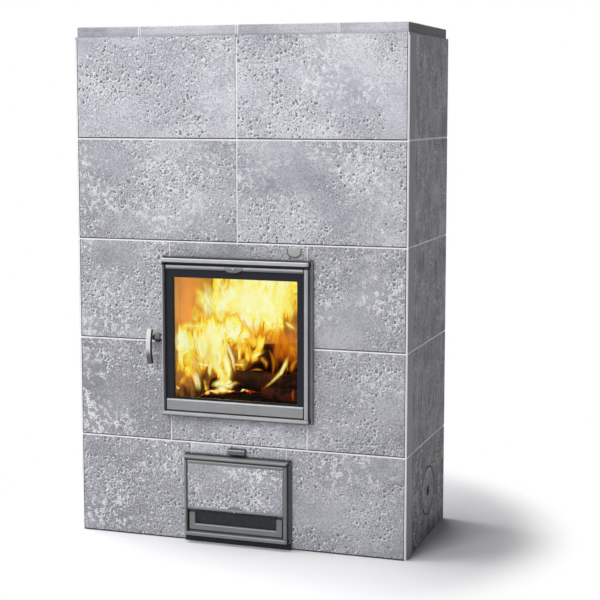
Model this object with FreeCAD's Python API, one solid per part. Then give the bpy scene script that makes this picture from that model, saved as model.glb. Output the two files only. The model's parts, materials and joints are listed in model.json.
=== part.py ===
import FreeCAD, Part
import math
import os
from collections import namedtuple

Vector = FreeCAD.Vector

os.makedirs("parts", exist_ok=True)

# A soapstone heat-storing stove. Millimetres, +Z up, the front faces -Y, the floor is Z = 0.

# Stone shell
stove_width = 1200.0
stove_depth = 550.0
course_height = 350.0
course_count = 5
slab_thickness = 50.0
slab_chamfer = 3.0
joint_gap = 3.0
mortar_recess = 2.0

# Cap slabs
cap_thickness = 34.0
cap_setback = 8.0
cap_joint_spacing = 357.0
cap_chamfer = 2.5

# Openings for the two doors in the front stones
fire_opening_half = 250.0
fire_sill_height = 118.0
fire_lintel_height = 76.0
ash_opening_half = 175.0
ash_filler_height = 59.0
threshold_height = 24.0
threshold_thickness = 8.0

# What both door frames share
flange_thickness = 10.0
collar_clearance = 4.0
collar_wall = 5.0
collar_end_gap = 1.0
bar_end_setback = 5.0
bar_end_radius = 12.0
bar_edge_radius = 2.0
leaf_gap = 1.5
pin_radius = 4.0
pin_engagement = 15.0
pin_seat = 10.0
pin_end_gap = 0.5
running_clearance = 0.05
seal_width = 7.0
seal_inset = 1.0
seat_gap = 0.3

# Fire door
fire_overlap = 23.0
fire_bar_height = 16.0
fire_bar_setback = 2.0
fire_standoff = 4.0
fire_leaf_thickness = 26.0
fire_stile_width = 15.0
fire_hinge_inset = 10.0
retainer_thickness = 8.0
retainer_side_border = 28.0
retainer_top_border = 29.0
retainer_bottom_border = 6.0
glass_thickness = 4.0
glass_clearance = 0.5
glass_bottom_gap = 1.5
glass_top_gap = 5.5
glass_seal_thickness = 2.0
glass_seal_width = 12.0
glass_seal_inset = 2.0
glass_rail_thickness = 9.0
glass_rail_side_gap = 4.0
glass_top_rail_height = 12.5
glass_top_rail_drop = 6.0
glass_bottom_rail_height = 41.0
glass_bottom_rail_lift = 0.5
glass_rail_edge_radius = 1.5
clip_half_width = 33.0
clip_drop = 8.0
clip_thickness = 3.0
clip_rise = 6.0
screw_head_radius = 4.5
screw_head_height = 2.5
screw_shank_radius = 2.0
screw_shank_length = 7.0

# Fire door handle
handle_drop = 4.0
boss_radius = 16.0
boss_half = 11.5
boss_edge_radius = 9.0
boss_offset = 15.0
boss_neck_radius = 7.0
shaft_radius = 4.0
lever_gap = 2.5
lever_width = 20.0
lever_thickness = 13.0
lever_length = 120.0
lever_head = 30.0
lever_bow = 12.0
lever_offset = 14.0
lever_edge_radius = 3.5
lever_hub_radius = 10.5
lever_web_half = 7.0
shaft_end_inset = 2.0
finger_half = 3.5
finger_clearance = 0.5
finger_entry = 5.0
finger_hub_radius = 5.5
finger_slot_rise = 8.0
finger_slot_drop = 26.0
keeper_clearance = 1.5
keeper_rise = 7.0
keeper_drop = 19.0

# Ash door
ash_overlap = 20.0
ash_bar_height = 12.0
ash_bar_setback = 3.0
ash_standoff = 3.0
ash_leaf_thickness = 23.0
ash_stile_width = 14.0
ash_hinge_inset = 8.0
ash_plate_thickness = 4.0
panel_thickness = 17.0
panel_clearance = 1.0
panel_chamfer = 1.0
panel_rail_depth = 18.0
panel_top_rail_height = 11.0
panel_top_rail_gap = 0.5
panel_bottom_rail_lift = 80.5
panel_bottom_rail_height = 9.0
panel_bump_half_width = 30.0
panel_bump_height = 12.0
panel_bump_thickness = 3.0
air_window_lift = 7.5
air_window_height = 61.0
air_window_leg = 22.0
air_window_foot = 20.0
air_window_depth = 13.0
air_window_gap = 4.0
air_window_chamfer = 1.5
baffle_thickness = 4.0
baffle_clearance = 0.5
air_port_height = 5.0
air_port_margin = 15.0
catch_radius = 5.0
catch_length = 12.0
catch_clearance = 2.5

# Air control above the ash door
knob_drop = 21.5
knob_half_width = 31.0
knob_height = 23.0
knob_depth = 20.0
knob_gap = 2.0
knob_edge_radius = 7.0
knob_end_radius = 1.5
knob_socket = 10.0
rod_radius = 5.0
rod_overshoot = 3.0
damper_depth = 55.0
damper_half_width = 60.0
damper_half_height = 30.0
damper_thickness = 4.0

# Blank badge plate
badge_inset = 44.0
badge_drop = 43.0
badge_half_width = 25.0
badge_height = 32.0
badge_bulge = 13.0
badge_thickness = 2.5

# Soot hatches in the side slabs
hatch_height = 167.0
hatch_set_back = 26.0
hatch_radius = 85.0
hatch_taper = 4.0
hatch_clearance = 0.5
hatch_rim_chamfer = 3.0
finger_hole_radius = 19.0
finger_hole_depth = 32.0

# Core inside the shell
base_step = 1.0
core_gap = 10.0
side_channel_share = 0.3
rear_channel = 60.0
ash_chamber_half = 165.0
ash_chamber_back = 45.0
firebox_floor_step = 18.0
firebox_floor_thickness = 70.0
lining_thickness = 62.0
lining_back_thickness = 75.0
lining_lintel_depth = 65.0
throat_thickness = 40.0
throat_depth = 70.0
throat_margin = 10.0
throat_end_margin = 38.0
upper_wall_thickness = 50.0
gas_turn_height = 80.0
inner_top_thickness = 50.0
insulation_thickness = 60.0
heat_block_count = 3

# Grate and ash pan
grate_half_width = 138.0
grate_half_depth = 112.0
grate_thickness = 18.0
grate_drop = 2.0
grate_clearance = 1.0
grate_ledge = 14.0
grate_bar = 14.0
grate_slot_count = 9
pan_half_width = 150.0
pan_height = 116.0
pan_wall = 2.0
pan_front_gap = 10.0
pan_back_gap = 10.0
pan_grip_half_width = 45.0
pan_grip_depth = 7.0
pan_grip_height = 14.0

# Flue connection low at the back
flue_radius = 80.0
flue_wall = 4.0
flue_inner_reach = 3.0

# Cutters run past what they cut by this much
overrun = 20.0
tolerance = 1.0e-4

half_width = stove_width / 2
half_depth = stove_depth / 2
front_y = -half_depth
inner_half_width = half_width - slab_thickness
inner_half_depth = half_depth - slab_thickness
body_top = course_count * course_height
half_joint = joint_gap / 2
mitre_shift = joint_gap / math.sqrt(2)

fire_opening_bottom = course_height + fire_sill_height
fire_opening_top = 3 * course_height - fire_lintel_height
ash_opening_bottom = threshold_height + ash_overlap
ash_opening_top = course_height - ash_filler_height

DoorPlan = namedtuple(
    "DoorPlan",
    "flange_half flange_bottom flange_top flange_front bar_half bar_setback bar_height "
    "leaf_bottom leaf_top leaf_front leaf_back stile_inner hinge_x hinge_y "
    "collar_half collar_bottom collar_top rim_half rim_bottom rim_top",
)


def plan_door(opening, overlap, bar, standoff, leaf_thickness, stile_width, hinge_inset):
    half, bottom, top = opening
    bar_height, bar_setback = bar
    flange_half = half + overlap
    flange_bottom = bottom - overlap
    flange_top = top + overlap
    flange_front = front_y - flange_thickness
    bar_half = flange_half - bar_end_setback
    leaf_back = flange_front - standoff
    leaf_front = leaf_back - leaf_thickness
    bar_zone = bar_setback + bar_height + leaf_gap
    collar_half = half - collar_clearance
    collar_bottom = bottom + collar_clearance
    collar_top = top - collar_clearance
    return DoorPlan(
        flange_half, flange_bottom, flange_top, flange_front, bar_half, bar_setback, bar_height,
        flange_bottom + bar_zone, flange_top - bar_zone, leaf_front, leaf_back,
        bar_half - stile_width, bar_half - hinge_inset, (leaf_front + leaf_back) / 2,
        collar_half, collar_bottom, collar_top,
        collar_half - collar_wall, collar_bottom + collar_wall, collar_top - collar_wall,
    )


fire = plan_door(
    (fire_opening_half, fire_opening_bottom, fire_opening_top), fire_overlap,
    (fire_bar_height, fire_bar_setback), fire_standoff, fire_leaf_thickness,
    fire_stile_width, fire_hinge_inset,
)
ash = plan_door(
    (ash_opening_half, ash_opening_bottom, ash_opening_top), ash_overlap,
    (ash_bar_height, ash_bar_setback), ash_standoff, ash_leaf_thickness,
    ash_stile_width, ash_hinge_inset,
)

# Layers of the fire door, from its back to its front
retainer_front = fire.leaf_back - retainer_thickness
glass_back = retainer_front - glass_seal_thickness
glass_front = glass_back - glass_thickness
glass_rail_front = glass_front - glass_rail_thickness
glass_half = fire.stile_inner - glass_clearance
glass_bottom = fire.leaf_bottom + glass_bottom_gap
glass_top = fire.leaf_top - glass_top_gap
glass_rail_half = fire.stile_inner - glass_rail_side_gap
top_rail_top = fire.leaf_top - glass_top_rail_drop
top_rail_bottom = top_rail_top - glass_top_rail_height
bottom_rail_bottom = fire.leaf_bottom + glass_bottom_rail_lift
bottom_rail_top = bottom_rail_bottom + glass_bottom_rail_height

handle_z = (fire.leaf_bottom + fire.leaf_top) / 2 - handle_drop
boss_x = -(fire.bar_half + boss_offset)
lever_right = boss_x - boss_half - lever_gap
lever_left = lever_right - lever_width
latch_x = -(fire.stile_inner + fire.bar_half) / 2

# Layers of the ash door
ash_plate_front = ash.leaf_back - ash_plate_thickness
panel_front = ash_plate_front - panel_thickness
panel_rail_front = ash_plate_front - panel_rail_depth
bump_front = panel_front - panel_bump_thickness
panel_half = ash.stile_inner - panel_clearance
panel_rail_bottom = ash.leaf_bottom + panel_bottom_rail_lift
panel_bottom = panel_rail_bottom + panel_bottom_rail_height
panel_rail_top = ash.leaf_top - panel_top_rail_gap
panel_top = panel_rail_top - panel_top_rail_height
air_window_half = ash.stile_inner - air_window_gap
air_window_bottom = ash.leaf_bottom + air_window_lift
baffle_half = air_window_half - air_window_leg - baffle_clearance
baffle_bottom = air_window_bottom + air_window_foot + baffle_clearance
baffle_top = panel_rail_bottom - air_port_height

knob_z = course_height - knob_drop

# Levels and lines of the core
base_top = ash.rim_bottom + base_step
floor_top = fire_opening_bottom - firebox_floor_step
floor_bottom = floor_top - firebox_floor_thickness
core_half_depth = inner_half_depth - core_gap
lining_inner = fire.rim_half
lining_outer = lining_inner + lining_thickness
core_outer = inner_half_width - side_channel_share * (inner_half_width - lining_outer)
lining_top = fire_opening_top + fire_lintel_height
firebox_back = core_half_depth - lining_back_thickness
throat_top = lining_top + throat_thickness
inner_top_bottom = body_top - insulation_thickness - inner_top_thickness
gas_turn_bottom = inner_top_bottom - gas_turn_height
block_back = inner_half_depth - rear_channel
ash_chamber_end = block_back - ash_chamber_back
grate_y = (firebox_back - core_half_depth) / 2
flue_z = (base_top + floor_bottom) / 2
damper_y = -inner_half_depth + damper_depth


def box(x0, x1, y0, y1, z0, z1):
    return Part.makeBox(x1 - x0, y1 - y0, z1 - z0, Vector(x0, y0, z0))


def cylinder_x(radius, x0, x1, y, z):
    return Part.makeCylinder(radius, x1 - x0, Vector(x0, y, z), Vector(1, 0, 0))


def cylinder_y(radius, y0, y1, x, z):
    return Part.makeCylinder(radius, y1 - y0, Vector(x, y0, z), Vector(0, 1, 0))


def cylinder_z(radius, z0, z1, x, y):
    return Part.makeCylinder(radius, z1 - z0, Vector(x, y, z0), Vector(0, 0, 1))


def extrude(edges, direction):
    return Part.Face(Part.Wire(Part.__sortEdges__(edges))).extrude(direction)


def prism(points, z0, z1):
    corners = [Vector(x, y, z0) for x, y in points]
    return Part.Face(Part.makePolygon(corners + corners[:1])).extrude(Vector(0, 0, z1 - z0))


def window_ring(outer, inner, y0, y1):
    half, bottom, top = outer
    inner_half, inner_bottom, inner_top = inner
    hole = box(-inner_half, inner_half, y0 - overrun, y1 + overrun, inner_bottom, inner_top)
    return box(-half, half, y0, y1, bottom, top).cut(hole)


def edges_on(shape, axis, value):
    return [e for e in shape.Edges if all(abs(v.Point[axis] - value) < tolerance for v in e.Vertexes)]


def edges_along_x(shape, y):
    return [e for e in edges_on(shape, 1, y) if abs(e.Vertexes[0].X - e.Vertexes[1].X) > tolerance]


def mirror_x(shape):
    return shape.mirror(Vector(0, 0, 0), Vector(1, 0, 0))


def mirror_y(shape):
    return shape.mirror(Vector(0, 0, 0), Vector(0, 1, 0))


def course_span(course):
    bottom = 0 if course == 1 else (course - 1) * course_height + half_joint
    top = body_top if course == course_count else course * course_height - half_joint
    return bottom, top


def slab_end(joint, side):
    # Plan position of a front slab's end at its outer and its inner face; corners are mitred
    if joint is None:
        outer = side * (half_width - mitre_shift)
        return outer, outer - side * slab_thickness
    return joint - side * half_joint, joint - side * half_joint


def front_slab(left, right, bottom, top):
    left_outer, left_inner = slab_end(left, -1)
    right_outer, right_inner = slab_end(right, 1)
    plan = [(left_outer, front_y), (right_outer, front_y), (right_inner, -inner_half_depth),
            (left_inner, -inner_half_depth)]
    slab = prism(plan, bottom, top)
    return slab.makeChamfer(slab_chamfer, edges_on(slab, 1, front_y))


def left_side_slab(course):
    bottom, top = course_span(course)
    end = half_depth - mitre_shift
    inner_end = end - slab_thickness
    plan = [(-half_width, -end), (-half_width, end), (-inner_half_width, inner_end),
            (-inner_half_width, -inner_end)]
    slab = prism(plan, bottom, top)
    return slab.makeChamfer(slab_chamfer, edges_on(slab, 0, -half_width))


def back_slab(course):
    bottom, top = course_span(course)
    return mirror_y(front_slab(None, None, bottom, top))


def front_stones():
    stones = {}
    bottom, top = course_span(1)
    stones["front_c1_left"] = front_slab(None, -ash_opening_half, bottom, top)
    stones["front_c1_right"] = front_slab(ash_opening_half, None, bottom, top)
    filler = front_slab(-ash_opening_half, ash_opening_half, ash_opening_top, top)
    rod_hole = cylinder_y(rod_radius + seat_gap, front_y - overrun, -inner_half_depth + overrun, 0, knob_z)
    stones["front_c1_filler"] = filler.cut(rod_hole)
    for course in (2, 3):
        bottom, top = course_span(course)
        stones[f"front_c{course}_left"] = front_slab(None, -fire_opening_half, bottom, top)
        stones[f"front_c{course}_right"] = front_slab(fire_opening_half, None, bottom, top)
    sill_bottom = course_span(2)[0]
    lintel_top = course_span(3)[1]
    ends = (-fire_opening_half, fire_opening_half)
    stones["front_c2_sill"] = front_slab(*ends, sill_bottom, fire_opening_bottom)
    stones["front_c3_lintel"] = front_slab(*ends, fire_opening_top, lintel_top)
    for course in range(4, course_count + 1):
        bottom, top = course_span(course)
        stones[f"front_c{course}_left"] = front_slab(None, 0, bottom, top)
        stones[f"front_c{course}_right"] = front_slab(0, None, bottom, top)
    return stones


def hatch_cone(clearance, x0, x1):
    # The hatch tapers towards the inside, so the plug can't fall in
    slope = hatch_taper / slab_thickness
    outer = hatch_radius + clearance - slope * (x0 + half_width)
    inner = hatch_radius + clearance - slope * (x1 + half_width)
    place = Vector(x0, hatch_set_back, hatch_height)
    return Part.makeCone(outer, inner, x1 - x0, place, Vector(1, 0, 0))


def left_hatch_slab():
    hole = hatch_cone(hatch_clearance, -half_width - overrun, -inner_half_width + overrun)
    slab = left_side_slab(1).cut(hole)
    rim = [e for e in edges_on(slab, 0, -half_width) if e.isClosed()]
    return slab.makeChamfer(hatch_rim_chamfer, rim)


def left_soot_plug():
    plug = hatch_cone(0, -half_width, -inner_half_width)
    plug = plug.makeChamfer(hatch_rim_chamfer, edges_on(plug, 0, -half_width))
    hole = cylinder_x(finger_hole_radius, -half_width - overrun, -half_width + finger_hole_depth,
                      hatch_set_back, hatch_height)
    return plug.cut(hole)


def back_flue_slab():
    hole = cylinder_y(flue_radius + flue_wall + seat_gap, inner_half_depth - overrun, half_depth + overrun,
                      0, flue_z)
    return back_slab(1).cut(hole)


def flue_sleeve():
    start = inner_half_depth - flue_inner_reach
    tube = cylinder_y(flue_radius + flue_wall, start, half_depth, 0, flue_z)
    return tube.cut(cylinder_y(flue_radius, start - overrun, half_depth + overrun, 0, flue_z))


def cap_slabs():
    x = half_width - cap_setback
    y = half_depth - cap_setback
    lines = [-x, -cap_joint_spacing, 0, cap_joint_spacing, x]
    slabs = []
    for left, right in zip(lines, lines[1:]):
        x0 = left if left == -x else left + half_joint
        x1 = right if right == x else right - half_joint
        slab = box(x0, x1, -y, y, body_top, body_top + cap_thickness)
        slabs.append(slab.makeChamfer(cap_chamfer, edges_on(slab, 2, body_top + cap_thickness)))
    return slabs


def bed_joint(course):
    # Mortar on top of one course, all round the shell
    x = half_width - mortar_recess
    y = half_depth - mortar_recess
    z = course * course_height
    ring = box(-x, x, -y, y, z - half_joint, z + half_joint)
    ring = ring.cut(box(-inner_half_width, inner_half_width, -inner_half_depth, inner_half_depth,
                        z - joint_gap, z + joint_gap))
    if fire_opening_bottom < z < fire_opening_top:
        edge = fire_opening_half + half_joint
        ring = ring.cut(box(-edge, edge, front_y - overrun, 0, z - joint_gap, z + joint_gap))
    return ring


def head_joint(x, bottom, top):
    return box(x - half_joint, x + half_joint, front_y + mortar_recess, -inner_half_depth, bottom, top)


def mitre_joints(course):
    bottom, top = course_span(course)
    near = half_joint + mortar_recess
    far = slab_thickness * math.sqrt(2)
    plan = []
    for along, across in ((near, -half_joint), (far, -half_joint), (far, half_joint), (near, half_joint)):
        x = -half_width + (along - across) / math.sqrt(2)
        y = front_y + (along + across) / math.sqrt(2)
        plan.append((x, y))
    front_left = prism(plan, bottom, top)
    front_pair = [front_left, mirror_x(front_left)]
    return front_pair + [mirror_y(strip) for strip in front_pair]


def joint_mortar():
    strips = []
    for course in range(1, course_count):
        strips += bed_joint(course).Solids
    for course in range(1, course_count + 1):
        strips += mitre_joints(course)
    for side in (-1, 1):
        strips.append(head_joint(side * ash_opening_half, ash_opening_top, course_span(1)[1]))
        strips.append(head_joint(side * fire_opening_half, course_span(2)[0], fire_opening_bottom))
        strips.append(head_joint(side * fire_opening_half, fire_opening_top, course_span(3)[1]))
    for course in range(4, course_count + 1):
        strips.append(head_joint(0, *course_span(course)))
    y = half_depth - cap_setback - mortar_recess
    cap_top = body_top + cap_thickness - mortar_recess
    for x in (-cap_joint_spacing, 0, cap_joint_spacing):
        strips.append(box(x - half_joint, x + half_joint, -y, y, body_top, cap_top))
    return strips


def base_slab():
    return box(-inner_half_width, inner_half_width, -inner_half_depth, inner_half_depth, 0, base_top)


def base_blocks():
    right = box(ash_chamber_half, core_outer, -inner_half_depth, block_back, base_top, floor_bottom)
    rear = box(-ash_chamber_half, ash_chamber_half, ash_chamber_end, block_back, base_top, floor_bottom)
    return [right, mirror_x(right), rear]


def grate_pocket(clearance):
    return (grate_half_width + clearance, grate_half_depth + clearance)


def firebox_floor():
    floor = box(-core_outer, core_outer, -inner_half_depth, inner_half_depth, floor_bottom, floor_top)
    x, y = grate_pocket(grate_clearance)
    seat = floor_top - grate_drop - grate_thickness
    floor = floor.cut(box(-x, x, grate_y - y, grate_y + y, seat, floor_top + overrun))
    x, y = grate_pocket(-grate_ledge)
    return floor.cut(box(-x, x, grate_y - y, grate_y + y, floor_bottom - overrun, floor_top + overrun))


def grate():
    x, y = grate_pocket(0)
    top = floor_top - grate_drop
    plate = box(-x, x, grate_y - y, grate_y + y, top - grate_thickness, top)
    inner_x = x - grate_ledge
    inner_y = y - grate_ledge
    pitch = (2 * inner_x + grate_bar) / grate_slot_count
    for index in range(grate_slot_count):
        x0 = -inner_x + index * pitch
        slot = box(x0, x0 + pitch - grate_bar, grate_y - inner_y, grate_y + inner_y,
                   top - grate_thickness - overrun, top + overrun)
        plate = plate.cut(slot)
    return plate


def ash_pan():
    y0 = -inner_half_depth + pan_front_gap
    y1 = ash_chamber_end - pan_back_gap
    top = base_top + pan_height
    shell = box(-pan_half_width, pan_half_width, y0, y1, base_top, top)
    inside = box(-pan_half_width + pan_wall, pan_half_width - pan_wall, y0 + pan_wall, y1 - pan_wall,
                 base_top + pan_wall, top + overrun)
    grip = box(-pan_grip_half_width, pan_grip_half_width, y0 - pan_grip_depth, y0,
               top - pan_grip_height, top - pan_grip_height + pan_wall)
    lip = box(-pan_grip_half_width, pan_grip_half_width, y0 - pan_grip_depth, y0 - pan_grip_depth + pan_wall,
              top - pan_grip_height, top)
    return shell.cut(inside).fuse([grip, lip]).removeSplitter()


def firebox_lining():
    right = box(lining_inner, lining_outer, -core_half_depth, core_half_depth, floor_top, lining_top)
    back = box(-lining_inner, lining_inner, firebox_back, core_half_depth, floor_top, lining_top)
    lintel = box(-lining_inner, lining_inner, -core_half_depth, -core_half_depth + lining_lintel_depth,
                 fire_opening_top, lining_top)
    return [right, mirror_x(right), back, lintel]


def throat_plate():
    plate = box(-lining_outer, lining_outer, -core_half_depth, core_half_depth, lining_top, throat_top)
    x = lining_inner - throat_end_margin
    back = firebox_back - throat_margin
    return plate.cut(box(-x, x, back - throat_depth, back, lining_top - overrun, throat_top + overrun))


def upper_core_walls():
    wall_y = core_half_depth - upper_wall_thickness
    right = box(lining_inner, lining_outer, -wall_y, wall_y, throat_top, gas_turn_bottom)
    back = box(-lining_outer, lining_outer, wall_y, core_half_depth, throat_top, inner_top_bottom)
    return [right, mirror_x(right), back, mirror_y(back)]


def heat_store_blocks():
    height = (gas_turn_bottom - floor_top) / heat_block_count
    blocks = []
    for index in range(heat_block_count):
        z = floor_top + index * height
        right = box(lining_outer, core_outer, -core_half_depth, core_half_depth, z, z + height)
        blocks += [right, mirror_x(right)]
    return blocks


def inner_top_slab():
    return box(-inner_half_width, inner_half_width, -inner_half_depth, inner_half_depth,
               inner_top_bottom, inner_top_bottom + inner_top_thickness)


def top_insulation():
    return box(-inner_half_width, inner_half_width, -inner_half_depth, inner_half_depth,
               body_top - insulation_thickness, body_top)


def frame_bar(door, bottom, height):
    bar = box(-door.bar_half, door.bar_half, door.leaf_front, door.flange_front, bottom, bottom + height)
    front_edges = edges_on(bar, 1, door.leaf_front)
    ends = [e for e in front_edges if abs(e.Vertexes[0].Z - e.Vertexes[1].Z) > tolerance]
    bar = bar.makeFillet(bar_end_radius, ends)
    outline = edges_on(bar, 2, bottom) + edges_on(bar, 2, bottom + height)
    back = edges_on(bar, 1, door.flange_front)
    return bar.makeFillet(bar_edge_radius, [e for e in outline if not any(e.isSame(b) for b in back)])


def hinge_pin_spans(door):
    # Lower and upper end of the bottom pin and of the top pin
    reach = leaf_gap + pin_seat
    return [(door.leaf_bottom - reach, door.leaf_bottom + pin_engagement),
            (door.leaf_top - pin_engagement, door.leaf_top + reach)]


def hinge_pins(door):
    return [cylinder_z(pin_radius, z0, z1, door.hinge_x, door.hinge_y) for z0, z1 in hinge_pin_spans(door)]


def cut_pin_holes(shape, door):
    for z0, z1 in hinge_pin_spans(door):
        hole = cylinder_z(pin_radius + running_clearance, z0 - pin_end_gap, z1 + pin_end_gap,
                          door.hinge_x, door.hinge_y)
        shape = shape.cut(hole)
    return shape


def door_frame(door, collar_end):
    rim = (door.rim_half, door.rim_bottom, door.rim_top)
    flange = window_ring((door.flange_half, door.flange_bottom, door.flange_top), rim,
                         door.flange_front, front_y)
    collar = window_ring((door.collar_half, door.collar_bottom, door.collar_top), rim,
                         front_y, collar_end - collar_end_gap)
    low = frame_bar(door, door.flange_bottom + door.bar_setback, door.bar_height)
    high = frame_bar(door, door.flange_top - door.bar_setback - door.bar_height, door.bar_height)
    frame = flange.fuse([collar, low, high]).removeSplitter()
    return cut_pin_holes(frame, door)


def ash_catch(radius, y0, y1):
    # Half-round rest on the bottom bar, under the free stile of the ash door
    x = -(ash.stile_inner + ash.bar_half) / 2
    return cylinder_y(radius, y0, y1, x, ash.leaf_bottom - leaf_gap)


def lower_door_frame():
    catch = ash_catch(catch_radius, ash.leaf_front + bar_edge_radius,
                      ash.leaf_front + bar_edge_radius + catch_length)
    return door_frame(ash, -inner_half_depth).fuse(catch).removeSplitter()


def main_door_frame():
    half = finger_half + keeper_clearance
    keeper = box(latch_x - half, latch_x + half, fire.flange_front - overrun, front_y + overrun,
                 handle_z - keeper_drop, handle_z + keeper_rise)
    return door_frame(fire, -core_half_depth).cut(keeper)


def right_stile(door):
    z = door.leaf_bottom
    inner_front = Vector(door.stile_inner, door.leaf_front, z)
    round_front = Vector(door.hinge_x, door.leaf_front, z)
    outermost = Vector(door.bar_half, door.hinge_y, z)
    round_back = Vector(door.hinge_x, door.leaf_back, z)
    inner_back = Vector(door.stile_inner, door.leaf_back, z)
    edges = [Part.makeLine(inner_front, round_front), Part.Arc(round_front, outermost, round_back).toShape(),
             Part.makeLine(round_back, inner_back), Part.makeLine(inner_back, inner_front)]
    return extrude(edges, Vector(0, 0, door.leaf_top - door.leaf_bottom))


def main_door_leaf():
    stile = right_stile(fire)
    span = (-fire.stile_inner, fire.stile_inner, retainer_front, fire.leaf_back)
    low = box(*span, fire.leaf_bottom, bottom_rail_top)
    high = box(*span, top_rail_bottom, fire.leaf_top)
    boss = cylinder_x(boss_radius, boss_x - boss_half, boss_x + boss_half, fire.hinge_y, handle_z)
    ends = edges_on(boss, 0, boss_x - boss_half) + edges_on(boss, 0, boss_x + boss_half)
    boss = boss.makeFillet(boss_edge_radius, ends)
    neck = cylinder_x(boss_neck_radius, boss_x, latch_x, fire.hinge_y, handle_z)
    leaf = stile.fuse([mirror_x(stile), low, high, boss, neck]).removeSplitter()
    half = finger_half + finger_clearance
    slot_front = fire.hinge_y - finger_hub_radius - finger_clearance
    slot = box(latch_x - half, latch_x + half, slot_front, fire.leaf_back + overrun,
               handle_z - finger_slot_drop, handle_z + finger_slot_rise)
    bore = cylinder_x(shaft_radius + running_clearance, lever_right, latch_x + half, fire.hinge_y, handle_z)
    return cut_pin_holes(leaf.cut(slot).cut(bore), fire)


def main_door_glass():
    return box(-glass_half, glass_half, glass_front, glass_back, glass_bottom, glass_top)


def glass_seal():
    outer = (glass_half - glass_seal_inset, glass_bottom + glass_seal_inset, glass_top - glass_seal_inset)
    inner = (outer[0] - glass_seal_width, outer[1] + glass_seal_width, outer[2] - glass_seal_width)
    return window_ring(outer, inner, glass_back, retainer_front)


def glass_retainer():
    outer = (fire.stile_inner, bottom_rail_top, top_rail_bottom)
    inner = (fire.stile_inner - retainer_side_border, bottom_rail_top + retainer_bottom_border,
             top_rail_bottom - retainer_top_border)
    return window_ring(outer, inner, retainer_front, fire.leaf_back)


def door_seal(door):
    inner = (door.rim_half + seal_inset, door.rim_bottom - seal_inset, door.rim_top + seal_inset)
    outer = (inner[0] + seal_width, inner[1] - seal_width, inner[2] + seal_width)
    return window_ring(outer, inner, door.leaf_back, door.flange_front - seat_gap)


def glass_rail(bottom, top):
    rail = box(-glass_rail_half, glass_rail_half, glass_rail_front, glass_front, bottom, top)
    return rail.makeFillet(glass_rail_edge_radius, edges_on(rail, 1, glass_rail_front))


def glass_rails():
    top_rail = glass_rail(top_rail_bottom, top_rail_top)
    hole = cylinder_y(screw_shank_radius + running_clearance, glass_rail_front - overrun,
                      glass_front + overrun, 0, clip_screw_z())
    return [top_rail.cut(hole), glass_rail(bottom_rail_bottom, bottom_rail_top)]


def clip_screw_z():
    return (top_rail_bottom + top_rail_top) / 2


def glass_clip():
    front = glass_rail_front - clip_thickness
    shoulder = top_rail_bottom + clip_rise
    left = Vector(-clip_half_width, front, shoulder)
    right = Vector(clip_half_width, front, shoulder)
    tip = Vector(0, front, top_rail_bottom - clip_drop)
    high_left = Vector(-clip_half_width, front, top_rail_top)
    high_right = Vector(clip_half_width, front, top_rail_top)
    edges = [Part.Arc(left, tip, right).toShape(), Part.makeLine(right, high_right),
             Part.makeLine(high_right, high_left), Part.makeLine(high_left, left)]
    clip = extrude(edges, Vector(0, glass_front - front, 0))
    rail_space = box(-clip_half_width - overrun, clip_half_width + overrun, glass_rail_front,
                     glass_front + overrun, top_rail_bottom, top_rail_top + overrun)
    hole = cylinder_y(screw_shank_radius + running_clearance, front - overrun, glass_front, 0, clip_screw_z())
    return clip.cut(rail_space).cut(hole)


def screw(face_y, z):
    head = cylinder_y(screw_head_radius, face_y - screw_head_height, face_y, 0, z)
    head = head.makeFillet(screw_head_height / 2, edges_on(head, 1, face_y - screw_head_height))
    return head.fuse(cylinder_y(screw_shank_radius, face_y, face_y + screw_shank_length, 0, z))


def lever_arc(radius, centre_y, centre_z, spread, x):
    points = []
    for angle in (-spread, 0, spread):
        points.append(Vector(x, centre_y - radius * math.cos(angle), centre_z + radius * math.sin(angle)))
    return points


def handle_lever():
    half = lever_length / 2
    radius = (half ** 2 + lever_bow ** 2) / (2 * lever_bow)
    centre_y = fire.hinge_y - lever_offset - lever_bow + radius
    centre_z = handle_z + lever_head - half
    spread = math.asin(half / radius)
    low, mid, high = lever_arc(radius + lever_thickness / 2, centre_y, centre_z, spread, lever_left)
    low_in, mid_in, high_in = lever_arc(radius - lever_thickness / 2, centre_y, centre_z, spread, lever_left)
    edges = [Part.Arc(low, mid, high).toShape(), Part.makeLine(high, high_in),
             Part.Arc(high_in, mid_in, low_in).toShape(), Part.makeLine(low_in, low)]
    grip = extrude(edges, Vector(lever_width, 0, 0))
    grip = grip.makeFillet(lever_edge_radius, grip.Edges)
    hub = cylinder_x(lever_hub_radius, lever_left + shaft_end_inset, lever_right, fire.hinge_y, handle_z)
    grip_y = centre_y - math.sqrt(radius ** 2 - (handle_z - centre_z) ** 2)
    web = box(lever_left + lever_edge_radius, lever_right - lever_edge_radius, grip_y, fire.hinge_y,
              handle_z - lever_web_half, handle_z + lever_web_half)
    bore = cylinder_x(shaft_radius + running_clearance, lever_left + shaft_end_inset, lever_right + overrun,
                      fire.hinge_y, handle_z)
    return grip.fuse([hub, web]).cut(bore)


def handle_shaft():
    end = latch_x + finger_half
    shaft = cylinder_x(shaft_radius, lever_left + shaft_end_inset, end, fire.hinge_y, handle_z)
    hub = cylinder_x(finger_hub_radius, latch_x - finger_half, end, fire.hinge_y, handle_z)
    finger = box(latch_x - finger_half, end, fire.hinge_y, fire.flange_front + finger_entry,
                 handle_z - finger_half, handle_z + finger_half)
    return shaft.fuse([hub, finger]).removeSplitter()


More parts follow.
